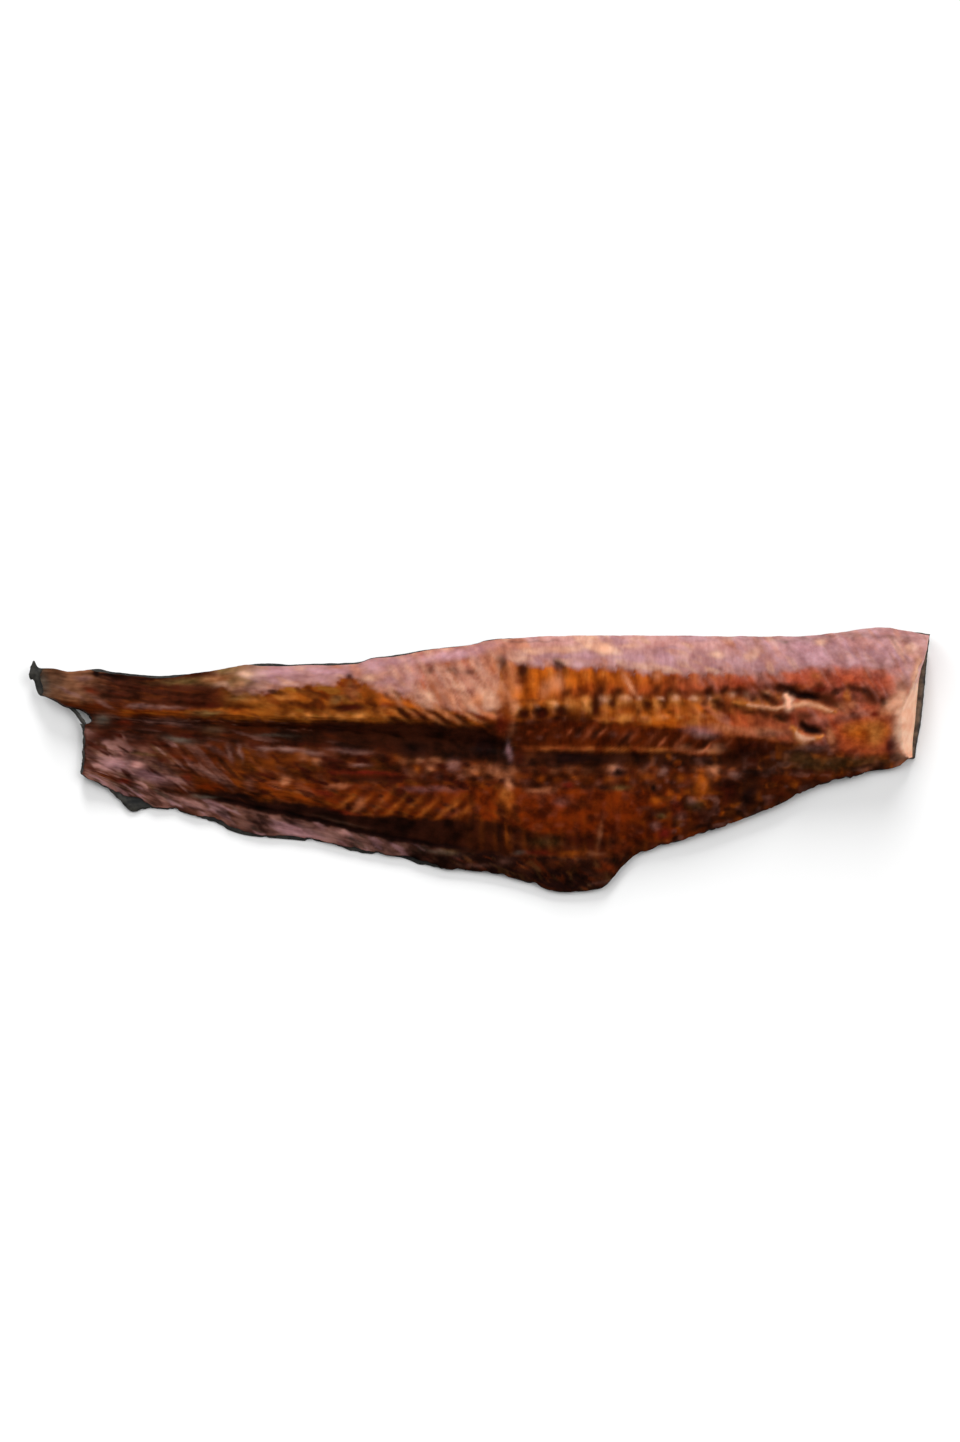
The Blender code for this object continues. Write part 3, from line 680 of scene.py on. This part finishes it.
class Canvas:
    # the flesh surface while its relief and tissues are laid on
    def __init__(self, u, v, tissues):
        self.u, self.v = u, v
        self.x, self.y = u * length, v * width
        (along, across), (long, wide) = flesh["warp"], flesh["warpSize"]
        self.warpedX = self.x + along * roughness(self.x / long, self.y / wide, 11)
        self.warpedY = self.y + across * roughness(self.x / long, self.y / wide, 17)
        self.slanted = self.warpedX + 0.5 * self.warpedY
        self.relief = np.zeros(u.shape)
        self.amount = {name: np.zeros(u.shape) for name in tissues}

    def lay(self, tissue, mask):
        for name in self.amount:
            self.amount[name] *= 1 - mask
        self.amount[tissue] += mask

    def put(self, tissue, mask, amount, rise=0):
        # lays a tissue and raises it by so many millimetres
        self.lay(tissue, mask * amount)
        self.relief += mask * rise / 1000

    def zone(self, low, high, soft):
        ragged = self.warpedY + 0.35 * soft * roughness(self.x / 0.0034, self.y / 0.0034, 5)
        above = ease((ragged - low(self.u) * width) / soft + 0.5)
        return above * ease((high(self.u) * width - ragged) / soft + 0.5)

    def ridge(self, path, halfWidths):
        # a rounded line whose half width follows the path
        points = [(u / 1000 * length, v / 1000 * width) for u, v in path]
        best = np.full(self.x.shape, 9.0)
        for k, ((ax, ay), (bx, by)) in enumerate(zip(points, points[1:])):
            dx, dy = bx - ax, by - ay
            fromX, fromY = self.warpedX - ax, self.warpedY - ay
            share = np.clip((fromX * dx + fromY * dy) / (dx * dx + dy * dy), 0, 1)
            away = np.hypot(fromX - share * dx, fromY - share * dy)
            halfWidth = (halfWidths[k] + (halfWidths[k + 1] - halfWidths[k]) * share) / 1000
            best = np.minimum(best, away / halfWidth)
        return np.exp(-(best**2))

    def dab(self, u, v, long, wide, turn):
        east, north = self.warpedX - u / 1000 * length, self.warpedY - v / 1000 * width
        c, s = math.cos(math.radians(turn)), math.sin(math.radians(turn))
        away = np.hypot((east * c + north * s) / long, (north * c - east * s) / wide) * 1000
        return np.exp(-(away**2.4))

    def beads(self, count, level, wide, tall, lean=0.0, offset=0.0, jitter=0.12, seed=0):
        # one blob for each flake: level is its height across the fish, wide in flakes, tall in millimetres
        north = (self.warpedY - level(self.u) * width) * 1000
        phase = count - offset - lean * north
        number = np.floor(phase + 0.5)
        east = phase - number - jitter * lumps(number * 3.7, 0 * number, seed)
        north = north - 2 * jitter * tall * lumps(number * 5.3, 0 * number, seed + 1)
        size = 1 + 1.6 * jitter * lumps(number * 7.1, 0 * number, seed + 2)
        strength = 1 + 2.5 * jitter * (lumps(number * 4.3, 0 * number, seed + 3) - 0.6)
        away = (east / (wide * size)) ** 2 + (north / (tall * size)) ** 2
        return np.clip(strength, 0, 1) * np.exp(-away)


def along(u, start, stop, soft=0.01):
    return ease((u - start) / soft + 0.5) * ease((stop - u) / soft + 0.5)


tissueTones = {
    # name: (deep tone, light tone), in the order in which they cover each other
    "amber": ((0.28, 0.038, 0.002), (0.72, 0.165, 0.010)),
    "gold": ((0.13, 0.042, 0.004), (0.40, 0.165, 0.022)),
    "honey": ((0.42, 0.105, 0.014), (0.82, 0.31, 0.07)),
    "ember": ((0.26, 0.022, 0.003), (0.74, 0.125, 0.036)),
    "rust": ((0.050, 0.0045, 0.0003), (0.205, 0.024, 0.0012)),
    "olive": ((0.06, 0.032, 0.007), (0.24, 0.135, 0.045)),
    "plum": ((0.075, 0.026, 0.022), (0.31, 0.150, 0.118)),
    # grey is a skin-grey tone, also laid as painted glints on dark flesh
    "greyAndGlint": ((0.03, 0.022, 0.016), (0.14, 0.103, 0.078)),
    "rose": ((0.52, 0.215, 0.180), (0.72, 0.38, 0.335)),
    # lilac is a lavender flesh tone and also painted sheen along the back
    "lilacAndSheen": ((0.40, 0.180, 0.195), (0.63, 0.345, 0.378)),
    "peach": ((0.46, 0.125, 0.045), (0.80, 0.31, 0.15)),
    "wine": ((0.010, 0.0015, 0.0006), (0.055, 0.006, 0.002)),
    "coal": ((0.0015, 0.0006, 0.0005), (0.015, 0.004, 0.003)),
    "ruby": ((0.045, 0.002, 0.001), (0.17, 0.012, 0.006)),
    "fat": ((0.84, 0.39, 0.24), (1.0, 0.62, 0.43)),
}
brownTones = ((0.014, 0.0028, 0.0005), (0.100, 0.019, 0.0025))


def paintFlesh(u, v, band):
    canvas = Canvas(u, v, tissueTones)
    line = {name: curveThrough(points, 1000) for name, points in fleshLines.items()}
    line["belly"] = lambda at: curve["belly"](at) - 0.1
    line["back"] = lambda at: curve["back"](at) + 0.1
    count = curveThrough(flesh["flakeCount"])(u)
    saw = (count + 0.35) % 1
    rightward = along(u, 0.528, 0.856, 0.02)
    serrated = lambda at: line["pinkBottom"](at) + rightward * (0.9 - 1.8 * saw) / 1000 / width
    for low, high, soft, tissues in fleshZones:
        lowLine = serrated if low == "pinkBottom" else line[low]
        highLine = serrated if high == "pinkBottom" else line[high]
        zone = canvas.zone(lowLine, highLine, soft)
        for name, shares in tissues.items():
            canvas.lay(name, zone * curveThrough(shares, 100)(u))

    def wave(phase, centre, halfWidth):
        away = np.abs((phase - centre + 0.5) % 1 - 0.5)
        return np.exp(-((away / halfWidth) ** 2))

    def level(lineName, below=0.0):
        return lambda at: line[lineName](at) - below / 1000 / width

    def above(lineName):
        # height above a line in millimetres
        return (canvas.warpedY - line[lineName](u) * width) * 1000

    def noise(long, wide, seed):
        return roughness(canvas.x / long, canvas.y / wide, seed)

    def swell(mask, phase, tall):
        canvas.relief += mask * tall * np.cos(2 * math.pi * phase)

    # blotches, coarser and stronger towards the head
    rough = along(u, 0.528, 2, 0.03) * (0.2 + 0.8 * along(u, 0.689, 2, 0.06))
    lowHalf = ease((line["blackTop"](u) - v) * width / 0.004 + 0.5)
    blotches = (("wine", 0.6, 3.8), ("amber", 0.4, 3.6), ("coal", 0.55, 3.4), ("plum", 0.3, 2.8))
    for k, (name, amount, size) in enumerate(blotches):
        blotch = lumps(canvas.warpedX / size * 1000, canvas.warpedY / size * 1250, 211 + k)
        canvas.lay(name, rough * lowHalf * amount * ease((blotch - 0.05) / 0.7))
    for k, (low, high, start, stop, long, wide, lean, tissues) in enumerate(fleshStreaks):
        long, wide = long / 1000, wide / 1000
        where = canvas.zone(line[low], line[high], 0.003) * along(u, start / 1000, stop / 1000, 0.06)
        across = (band * flesh["bandWidth"] + lean * canvas.x) / wide
        for j, (name, percent) in enumerate(tissues.items()):
            streak = roughness(canvas.slanted / long, across, 300 + 20 * k + 5 * j, 2)
            canvas.lay(name, where * (percent / 100) * ease((streak - 0.1) / 0.45))

    # upright flake stripes of the loin, darker at their feet
    loin = canvas.zone(line["netTop"], line["pinkBottom"], 0.006) * along(u, 0.523, 0.973, 0.02)
    north = above("netTop")
    stripes = count + 0.02 * north + 0.14 * noise(0.010, 0.004, 23)
    uneven = 0.6 + 0.4 * lumps(np.floor(stripes) * 2.3, canvas.y / 0.004, 29)
    canvas.lay("rust", loin * wave(stripes, -0.30, 0.24) * 0.62 * uneven)
    canvas.lay("ember", loin * ease((7 - north) / 7) * along(u, 0.589, 0.812, 0.06) * 0.5)
    shine = along(u, 0, 0.812, 0.1) * ease(north / 8 - 0.1)
    canvas.lay("honey", loin * wave(stripes, 0.14, 0.18) * 0.3 * uneven * shine)
    feet = ease((3.6 - north + 1.6 * lumps(stripes, canvas.y / 0.02, 31)) / 3.8)
    canvas.lay("rust", loin * feet * along(u, 0.601, 2, 0.12) * 0.7)
    feet = canvas.beads(count, level("netTop", -2.2), 0.30, 2.4, 0.05, -0.3, 0.24, 71)
    canvas.lay("wine", feet * along(u, 0.589, 0.923, 0.08) * 0.85)
    swell(loin, stripes - 0.1, 0.00014)

    # pale strokes that lean back over the loin behind the fold
    behind = along(u, 0.395, 0.525, 0.02) * ease((v - line["netTop"](u)) * width / 0.002 + 0.5)
    behind = behind * ease((line["back"](u) - v) * width / 0.004 - 1)
    leaning = count + 0.10 * north + 0.12 * noise(0.010, 0.004, 37)
    canvas.lay("fat", behind * wave(leaning, 0.35, 0.18) * 0.24)
    canvas.lay("rust", behind * wave(leaning, 0.85, 0.18) * 0.18)
    swell(behind, leaning - 0.35, 0.00014)

    # beads of fat along the seam; right of the fold a net of pale walls round dark hollows
    beads = canvas.beads(count, level("netTop", 2.4), 0.32, 1.5, 0, 0, 0.12, 3)
    canvas.lay("honey", beads * along(u, 0.276, 0.381, 0.01) * 0.9)
    middle = along(u, 0.395, 0.525, 0.01)
    canvas.lay("wine", canvas.beads(count, level("netTop", 2.9), 0.34, 3.2, -0.20, 0.50, 0.12, 7) * middle)
    beads = canvas.beads(count, level("netTop", 2.1), 0.24, 2.3, -0.20, 0, 0.12, 5) * middle
    canvas.lay("honey", beads)
    canvas.lay("peach", beads * 0.6 * along(u, 0.423, 2, 0.03))
    shaken = count + 0.2 * noise(0.005, 0.0025, 33)
    for k, (start, stop, name, offset, below, wide, tall, percent, rise) in enumerate(netRows):
        blobs = canvas.beads(shaken, level("netTop", below), wide, tall, -0.02, offset, 0.19, 101 + 10 * k)
        canvas.put(name, blobs * along(u, start / 1000, stop / 1000, 0.02), percent / 100, rise)

    # leaning dashes between the net and the black band
    dashes = along(u, 0.589, 0.776, 0.05)
    pale = canvas.beads(count * 1.15, level("netBottom", 4.8), 0.17, 2.8, 0.12, 0.45, 0.24, 151) * dashes
    dark = canvas.beads(count * 1.15, level("netBottom", 5.4), 0.26, 2.6, 0.12, -0.05, 0.2, 157) * dashes
    canvas.put("coal", dark, 0.7, -0.2)
    canvas.lay("ember", pale * 0.6)
    canvas.lay("peach", pale * 0.2)
    under = np.exp(-((above("blackTop") - 1.0) ** 2)) * along(u, 0.545, 0.769, 0.06)
    canvas.put("ember", under, 0.4, 0.2)
    canvas.lay("honey", under * (0.36 + 0.3 * lumps(canvas.x / 0.0035, 0 * u, 163)))

    # dots and short walls under the black band
    dots = along(u, 0.412, 0.773, 0.02)
    for name, offset, below, wide, tall, percent, rise in dotRows:
        seed = int(below * 37)
        blobs = canvas.beads(count, level("blackBottom", below), wide, tall, 0, offset, 0.22, seed)
        canvas.put(name, blobs * dots, percent / 100, rise)

    # flake edges of the belly muscle: leaning behind the fold, upright before it
    belly = canvas.zone(line["darkTop"], line["lowerSeam"], 0.0025) * along(u, 0.339, 0.495, 0.02)
    below = above("lowerSeam")
    lower = count * 1.02 - 0.13 * below + 0.2 * noise(0.010, 0.005, 43)
    low = ease(-below / 7 - 0.2)
    patchy = 0.65 + 0.35 * lumps(np.floor(lower) * 3.1, canvas.y / 0.004, 45)
    canvas.lay("amber", belly * wave(lower, 0.3, 0.32) * (0.17 + 0.36 * low) * patchy)
    canvas.lay("honey", belly * wave(lower, 0.3, 0.22) * low * 0.24 * patchy)
    canvas.lay("wine", belly * wave(lower, 0.8, 0.26) * 0.3)
    swell(belly, lower - 0.3, 0.00012)
    upright = canvas.zone(line["fringeTop"], line["lowerSeam"], 0.0025) * along(u, 0.489, 0.745, 0.02)
    plain = count * 1.5 + 0.01 * below + 0.16 * noise(0.008, 0.008, 59)
    canvas.lay("wine", upright * wave(plain, 0.2, 0.24) * 0.12)
    canvas.lay("amber", upright * wave(plain, 0.7, 0.22) * 0.12)
    swell(upright, plain - 0.7, 0.00004)

    # the groove that parts the fringe, and the sunk spine line
    groove = np.exp(-(((above("fringeTop") - 0.4) / 1.1) ** 2)) * along(u, 0.184, 0.489, 0.06)
    canvas.lay("coal", groove * 0.95)
    canvas.relief -= 0.0008 * groove
    sunk = canvas.zone(line["blackBottom"], line["blackTop"], 0.004)
    canvas.relief -= sunk * np.interp(u, *flesh["spineDepth"])

    for name, dabs in fleshDabs:
        for dab in dabs:
            atU, atV, long, wide, percent, rise, turn = (*dab, 0, 0)[:7]
            canvas.put(name, canvas.dab(atU, atV, long, wide, turn), percent / 100, rise)
    for name, path, halfWidths, percent, rise in fleshRidges:
        canvas.put(name, canvas.ridge(path, halfWidths), percent / 100, rise)

    # fibres along the fish, strongest towards the tail, and coarse torn flesh at the head
    fibres = roughness(canvas.x / 0.011, band * 8, 41)
    canvas.relief += (0.00006 + 0.00008 * along(u, 0, 0.334, 0.2)) * fibres
    canvas.relief += (0.00006 + 0.00014 * along(u, 0.789, 2, 0.1)) * noise(0.0030, 0.0026, 47)
    ragged = along(u, 0.434, 0.834, 0.05) * ease(1 - (v - line["belly"](u)) * width / 0.012)
    canvas.relief += 0.0004 * ragged * noise(0.0016, 0.0016, 53)
    return canvas


def fleshGrid():
    topColumns, cutColumns = flesh["topColumns"], flesh["cutColumns"]
    share = np.concatenate([spread(topColumns, 0.25), np.ones(cutColumns)])[:, None]
    down = np.concatenate([np.zeros(topColumns), np.linspace(0, 1, cutColumns + 1)])[:, None]
    across = spread(flesh["rows"], 0.35)[None, :]
    share, down, across = np.broadcast_arrays(share, down, across)
    tailMargin = curveThrough(flesh["tailMargin"], 1000)(across)
    tailMargin = tailMargin + 0.0005 * roughness(across * 40, 0 * across, 3)
    start = curve["tail"](across) + tailMargin / length
    foot = curve["head"](across) - curveThrough(flesh["headMargin"], 1000)(across) / length
    lean = curveThrough(flesh["headLean"], 1000)(across) + 0.0007 * roughness(across * 14, 0 * across, 9)
    stop = foot - np.maximum(lean, 0.0004) / length
    u = start + (stop - start) * share + (foot - stop) * down
    ragged = roughness(u * length / 0.0035, 0 * u, 61, 4)
    bellyMargin = curveThrough(flesh["bellyMargin"], 1000)(u) + tears(u * length) + 0.0005 * ragged
    backMargin = curveThrough(flesh["backMargin"], 1000)(u)
    backMargin = backMargin + 0.0002 * roughness(u * length / 0.004, 0 * u, 67)
    low = curve["belly"](u) + bellyMargin / width
    high = curve["back"](u) - backMargin / width
    return u, low + (high - low) * across, share, down, across


def makeFlesh():
    u, v, share, down, across = fleshGrid()
    band = bandOf(u, v)
    fromBack, fromBelly = edgeDistances(u, v)
    fromTail = share * length
    canvas = paintFlesh(u, v, band)
    skinTop = skinHeight(u, fromBack) + flesh["skin"]
    rounding = flesh["rounding"]
    edge = roundOver(np.minimum(fromBack, fromBelly), rounding) * roundOver(fromTail, rounding)
    rise = fleshRise(u, band, fromBack, fromBelly, fromTail) + canvas.relief * edge
    z = skinTop + (fishPlan["rim"] - flesh["skin"]) + rise * (1 - down**1.9)
    z = np.maximum(z, skinTop + flesh["thinnest"])
    crest = thickness - flesh["crest"]
    z = np.where(z > crest, crest + flesh["crestGive"] * np.tanh((z - crest) / flesh["crestSoftness"]), z)
    canvas.lay("rose", ease(down * 2.5))
    border = 0.60 + 0.06 * roughness(down * 2.5, across * 9, 19)
    canvas.lay("fat", ease(down * 2.5) * ease((border - across) / 0.16 + 0.5))
    upper = np.stack([*planPlace(u, v), z], axis=-1)
    step = flesh["coarser"]
    lower = upper[::step, ::step].copy()
    lower[..., 2] = (skinTop - 0.0001)[::step, ::step]  # sunk a little into the skin
    attributes = dict(canvas.amount)
    attributes["streaky"] = 0.55 * along(u, -1, 0.412, 0.25) + 0.15
    attributes["upright"] = 0.5 * along(u, 0.523, 0.834, 0.16) * along(v, 0.5, 2, 0.1)
    attributes["fibre"] = np.stack([canvas.x, band * flesh["bandWidth"], 0 * u], axis=-1)
    return closedShell("fleshSide", upper, lower, attributes)


def paintedFlesh():
    fixed = {
        "Coat Roughness": 0.3, "Specular IOR Level": 0.03, "Specular Tint": (1, 0.6, 0.4, 1),
        "Subsurface Weight": 0.25, "Subsurface Radius": (1, 0.35, 0.2), "Subsurface Scale": 0.0012,
    }
    paint = Paint("smokedFlesh", fixed)
    place = paint.objectPlace()
    streaks = paint.noise(paint.stretched(paint.painted("fibre", "Vector"), flesh["fibreScale"]), 1.0)
    upright = paint.noise(paint.stretched(place, flesh["uprightScale"]), 1.0)
    grain = paint.noise(place, flesh["grainScale"], 3)
    mottle = paint.noise(place, flesh["mottleScale"])
    along, across = paint.painted("streaky"), paint.painted("upright")
    breakup = grain + (streaks - grain) * along + (upright - grain) * across
    tone = paint.smooth(breakup * 0.55 + mottle * 0.45, *flesh["toneEnds"])
    colour = paint.mix(*brownTones, tone)
    for name, (deep, light) in tissueTones.items():
        amount = paint.painted(name)
        amount = amount * 1.12 + amount * (1 - amount) * (breakup - 0.5) * flesh["breakup"]
        colour = paint.mix(colour, paint.mix(deep, light, tone), amount)
    rough = mottle * 0.3 + 0.40 + paint.painted("coal") * 0.35
    coat = (paint.painted("rose") + paint.painted("lilacAndSheen") + paint.painted("fat")) * 0.08 + 0.01
    normal = paint.bump(breakup, flesh["bump"])
    return paint.finish(Base_Color=colour, Roughness=rough, Coat_Weight=coat, Normal=normal)


print("flesh")
fleshSide = makeFlesh()
fleshSide.data.materials.append(paintedFlesh())
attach(fleshSide, "root")
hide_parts("fillet")

skin = {
    "columns": 400, "rows": 84, "rimThickness": 0.0004,
    "mottleScale": (90, 220, 220), "grainScale": 700, "toneEnds": (0.35, 0.68), "bump": 0.0004,
    # in millimetres: how far the skin stops short of the back, along u, and how deep it is torn beside
    # the strand, across the tail end
    "backInset": {1: 0.2, 245: 0.3, 258: 0.1, 523: 0.2, 567: 0.8, 889: 0.8, 967: 0.3},
    "tailNotch": {0: 0, 485: 0, 505: 3.6, 528: 5.6, 583: 6.2, 620: 4.8, 648: 1, 670: 0, 1000: 0},
    "spike": (0.006, 0.0036, 0.0010),  # u, height, half width of the stub at the tail tip
    "tones": ((0.004, 0.0042, 0.004), (0.042, 0.038, 0.031)),
    "residue": ((0.05, 0.028, 0.014), (0.20, 0.125, 0.075)),  # flesh left on the skin at the head cut
}


def makeSkin():
    share = spread(skin["columns"], 0.3)[:, None]
    across = spread(skin["rows"], 0.3)[None, :]
    share, across = np.broadcast_arrays(share, across)
    notch = curveThrough(skin["tailNotch"], 1000)(across)
    ragged = 0.0003 + 0.0003 * roughness(across * 50, 0 * across, 71)
    start = curve["tail"](across) + (notch + ragged) / length
    stop = curve["head"](across) - (0.00015 + 0.00015 * roughness(across * 30, 0 * across, 73)) / length
    u = start + (stop - start) * share
    along = u * length
    low = curve["belly"](u) + tears(along) / width
    inset = curveThrough(skin["backInset"], 1000)(u)
    high = curve["back"](u) - (inset + 0.0002 * roughness(along / 0.004, 0 * u, 83)) / width
    at, tall, halfBase = skin["spike"]
    high = high + tall / width * np.exp(-(np.abs((u - at) * length / halfBase) ** 1.5))
    v = low + (high - low) * across
    fromBack, fromBelly = edgeDistances(u, v)
    bottom = skinHeight(u, fromBack)
    rim = np.minimum(np.minimum(fromBack, fromBelly), np.minimum(share, 1 - share) * length)
    thick = skin["rimThickness"] + (flesh["skin"] - skin["rimThickness"]) * ease(rim / 0.0015)
    wrinkles = 0.00025 * np.maximum(roughness(along / 0.009, v * width / 0.0022, 89), 0) * ease(rim / 0.004)
    place = np.stack(planPlace(u, v), axis=-1)
    upper = np.concatenate([place, (bottom + thick)[..., None]], axis=-1)
    lower = np.concatenate([place, (bottom + wrinkles)[..., None]], axis=-1)
    left = ease(rim / 0.0012 + 0.4 * roughness(along / 0.002, v * width / 0.003, 97))
    left = ease((u - 0.962) / 0.012) * left
    return closedShell("skinSide", upper, lower, {"residue": left})


def paintedSkin():
    fixed = {"Roughness": 0.5, "Coat Weight": 0.08, "Coat Roughness": 0.35, "Specular IOR Level": 0.25}
    paint = Paint("smokedSkin", fixed)
    place = paint.objectPlace()
    mottle = paint.noise(paint.stretched(place, skin["mottleScale"]), 1.0, 4, 0.6)
    grain = paint.noise(place, skin["grainScale"])
    tone = paint.smooth(mottle * 0.7 + grain * 0.3, *skin["toneEnds"])
    bare, covered = paint.mix(*skin["tones"], tone), paint.mix(*skin["residue"], tone)
    colour = paint.mix(bare, covered, paint.painted("residue"))
    return paint.finish(Base_Color=colour, Normal=paint.bump(grain, skin["bump"]))


print("skin")
skinSide = makeSkin()
skinSide.data.materials.append(paintedSkin())
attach(skinSide, "root")
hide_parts("fillet")

strand = {
    "path": [(41, 712), (47, 697), (53, 679), (57, 658), (62, 637), (65, 624)],
    "halfWidths": (0.0003, 0.0007, 0.0009, 0.0008, 0.0008, 0.0003),
    "steps": 40, "sides": 10, "lift": 0.0006,
}


def makeStrand():
    # a thin tube through the path's points, closed by its narrow ends
    points = np.array(strand["path"]) / 1000
    along = np.linspace(0, len(points) - 1, strand["steps"])
    knots = np.arange(len(points))
    middle = np.stack([np.interp(along, knots, points[:, k]) for k in (0, 1)], axis=-1)
    for _ in range(6):
        middle[1:-1] = (middle[:-2] + 2 * middle[1:-1] + middle[2:]) / 4
    radius = np.interp(along, knots, strand["halfWidths"])
    radius = radius * (1 + 0.25 * roughness(along * 1.7, 0 * along, 91))
    u, v = middle.T
    x, y = planPlace(u, v)
    z = skinHeight(u, distanceTo(curve["back"], 0, u, v)) + strand["lift"]
    ahead = np.stack([np.gradient(x), np.gradient(y)], axis=-1)
    ahead /= np.linalg.norm(ahead, axis=1)[:, None]
    mesh = bmesh.new()
    rings = []
    for k in range(strand["steps"]):
        turns = [2 * math.pi * i / strand["sides"] for i in range(strand["sides"])]
        offsets = [(math.cos(t) * radius[k], 0.7 * math.sin(t) * radius[k]) for t in turns]
        points = [(x[k] - a * ahead[k, 1], y[k] + a * ahead[k, 0], z[k] + b) for a, b in offsets]
        rings.append([mesh.verts.new(point) for point in points])
    for ring, following in zip(rings, rings[1:]):
        for i in range(strand["sides"]):
            j = (i + 1) % strand["sides"]
            mesh.faces.new((ring[i], ring[j], following[j], following[i]))
    mesh.faces.new(rings[0][::-1])
    mesh.faces.new(rings[-1])
    bmesh.ops.recalc_face_normals(mesh, faces=mesh.faces)
    data = bpy.data.meshes.new("tornStrand")
    mesh.to_mesh(data)
    mesh.free()
    data.shade_smooth()
    return placed("tornStrand", data)


tornStrand = makeStrand()
tornStrand.data.materials.append(skinSide.data.materials[0])
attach(tornStrand, "root")
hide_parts("fillet")

stage = {
    "floor": 40.0, "floorGrain": 3, "floorTones": ((0.68, 0.68, 0.68), (0.7, 0.7, 0.7)),
    "worldStrength": 0.2,
}
shot = {"lens": 135, "sensor": 36, "tall": 0.5768, "centre": (0.0002, 0.0156)}
suns = {
    # name: (where it shines from, strength, width in degrees, whether it lights the floor only)
    "left": ((-0.8, 0.7, 1.1), 1.80, 45, False),
    "right": ((0.9, 0.5, 1.1), 1.86, 45, False),
    "floorOnly": ((0, 1, 0.32), 5.4, 22, True),
}


def makeStage():
    bpy.ops.mesh.primitive_plane_add(size=stage["floor"], location=(0, 0, 0))
    floor = bpy.context.active_object
    floor.name = "floor"
    paint = Paint("paleFloor", {"Roughness": 0.9, "Specular IOR Level": 0.1})
    place = paint.objectPlace()
    tone = paint.mix(*stage["floorTones"], paint.noise(place, stage["floorGrain"]))
    floor.data.materials.append(paint.finish(Base_Color=tone))
    world = bpy.data.worlds.new("studio")
    world.use_nodes = True
    background = world.node_tree.nodes["Background"].inputs
    background["Color"].default_value = (1, 1, 1, 1)
    background["Strength"].default_value = stage["worldStrength"]
    bpy.context.scene.world = world
    receivers = bpy.data.collections.new("lowLightReceivers")
    receivers.objects.link(floor)
    for name, (place, strength, wide, floorOnly) in suns.items():
        lamp = bpy.data.lights.new(name, "SUN")
        lamp.energy = strength
        lamp.angle = math.radians(wide)
        holder = placed(name, lamp)
        holder.location = place
        holder.rotation_euler = Vector(place).to_track_quat("Z", "Y").to_euler()
        if floorOnly:
            holder.light_linking.receiver_collection = receivers


def makeCamera():
    data = bpy.data.cameras.new("camera")
    data.lens = shot["lens"]
    data.sensor_width = shot["sensor"]
    camera = placed("camera", data)
    away = shot["tall"] * shot["lens"] / shot["sensor"]
    camera.location = (*shot["centre"], away)
    bpy.context.scene.camera = camera


print("stage")
makeStage()
makeCamera()
bpy.context.scene.view_settings.view_transform = "Standard"
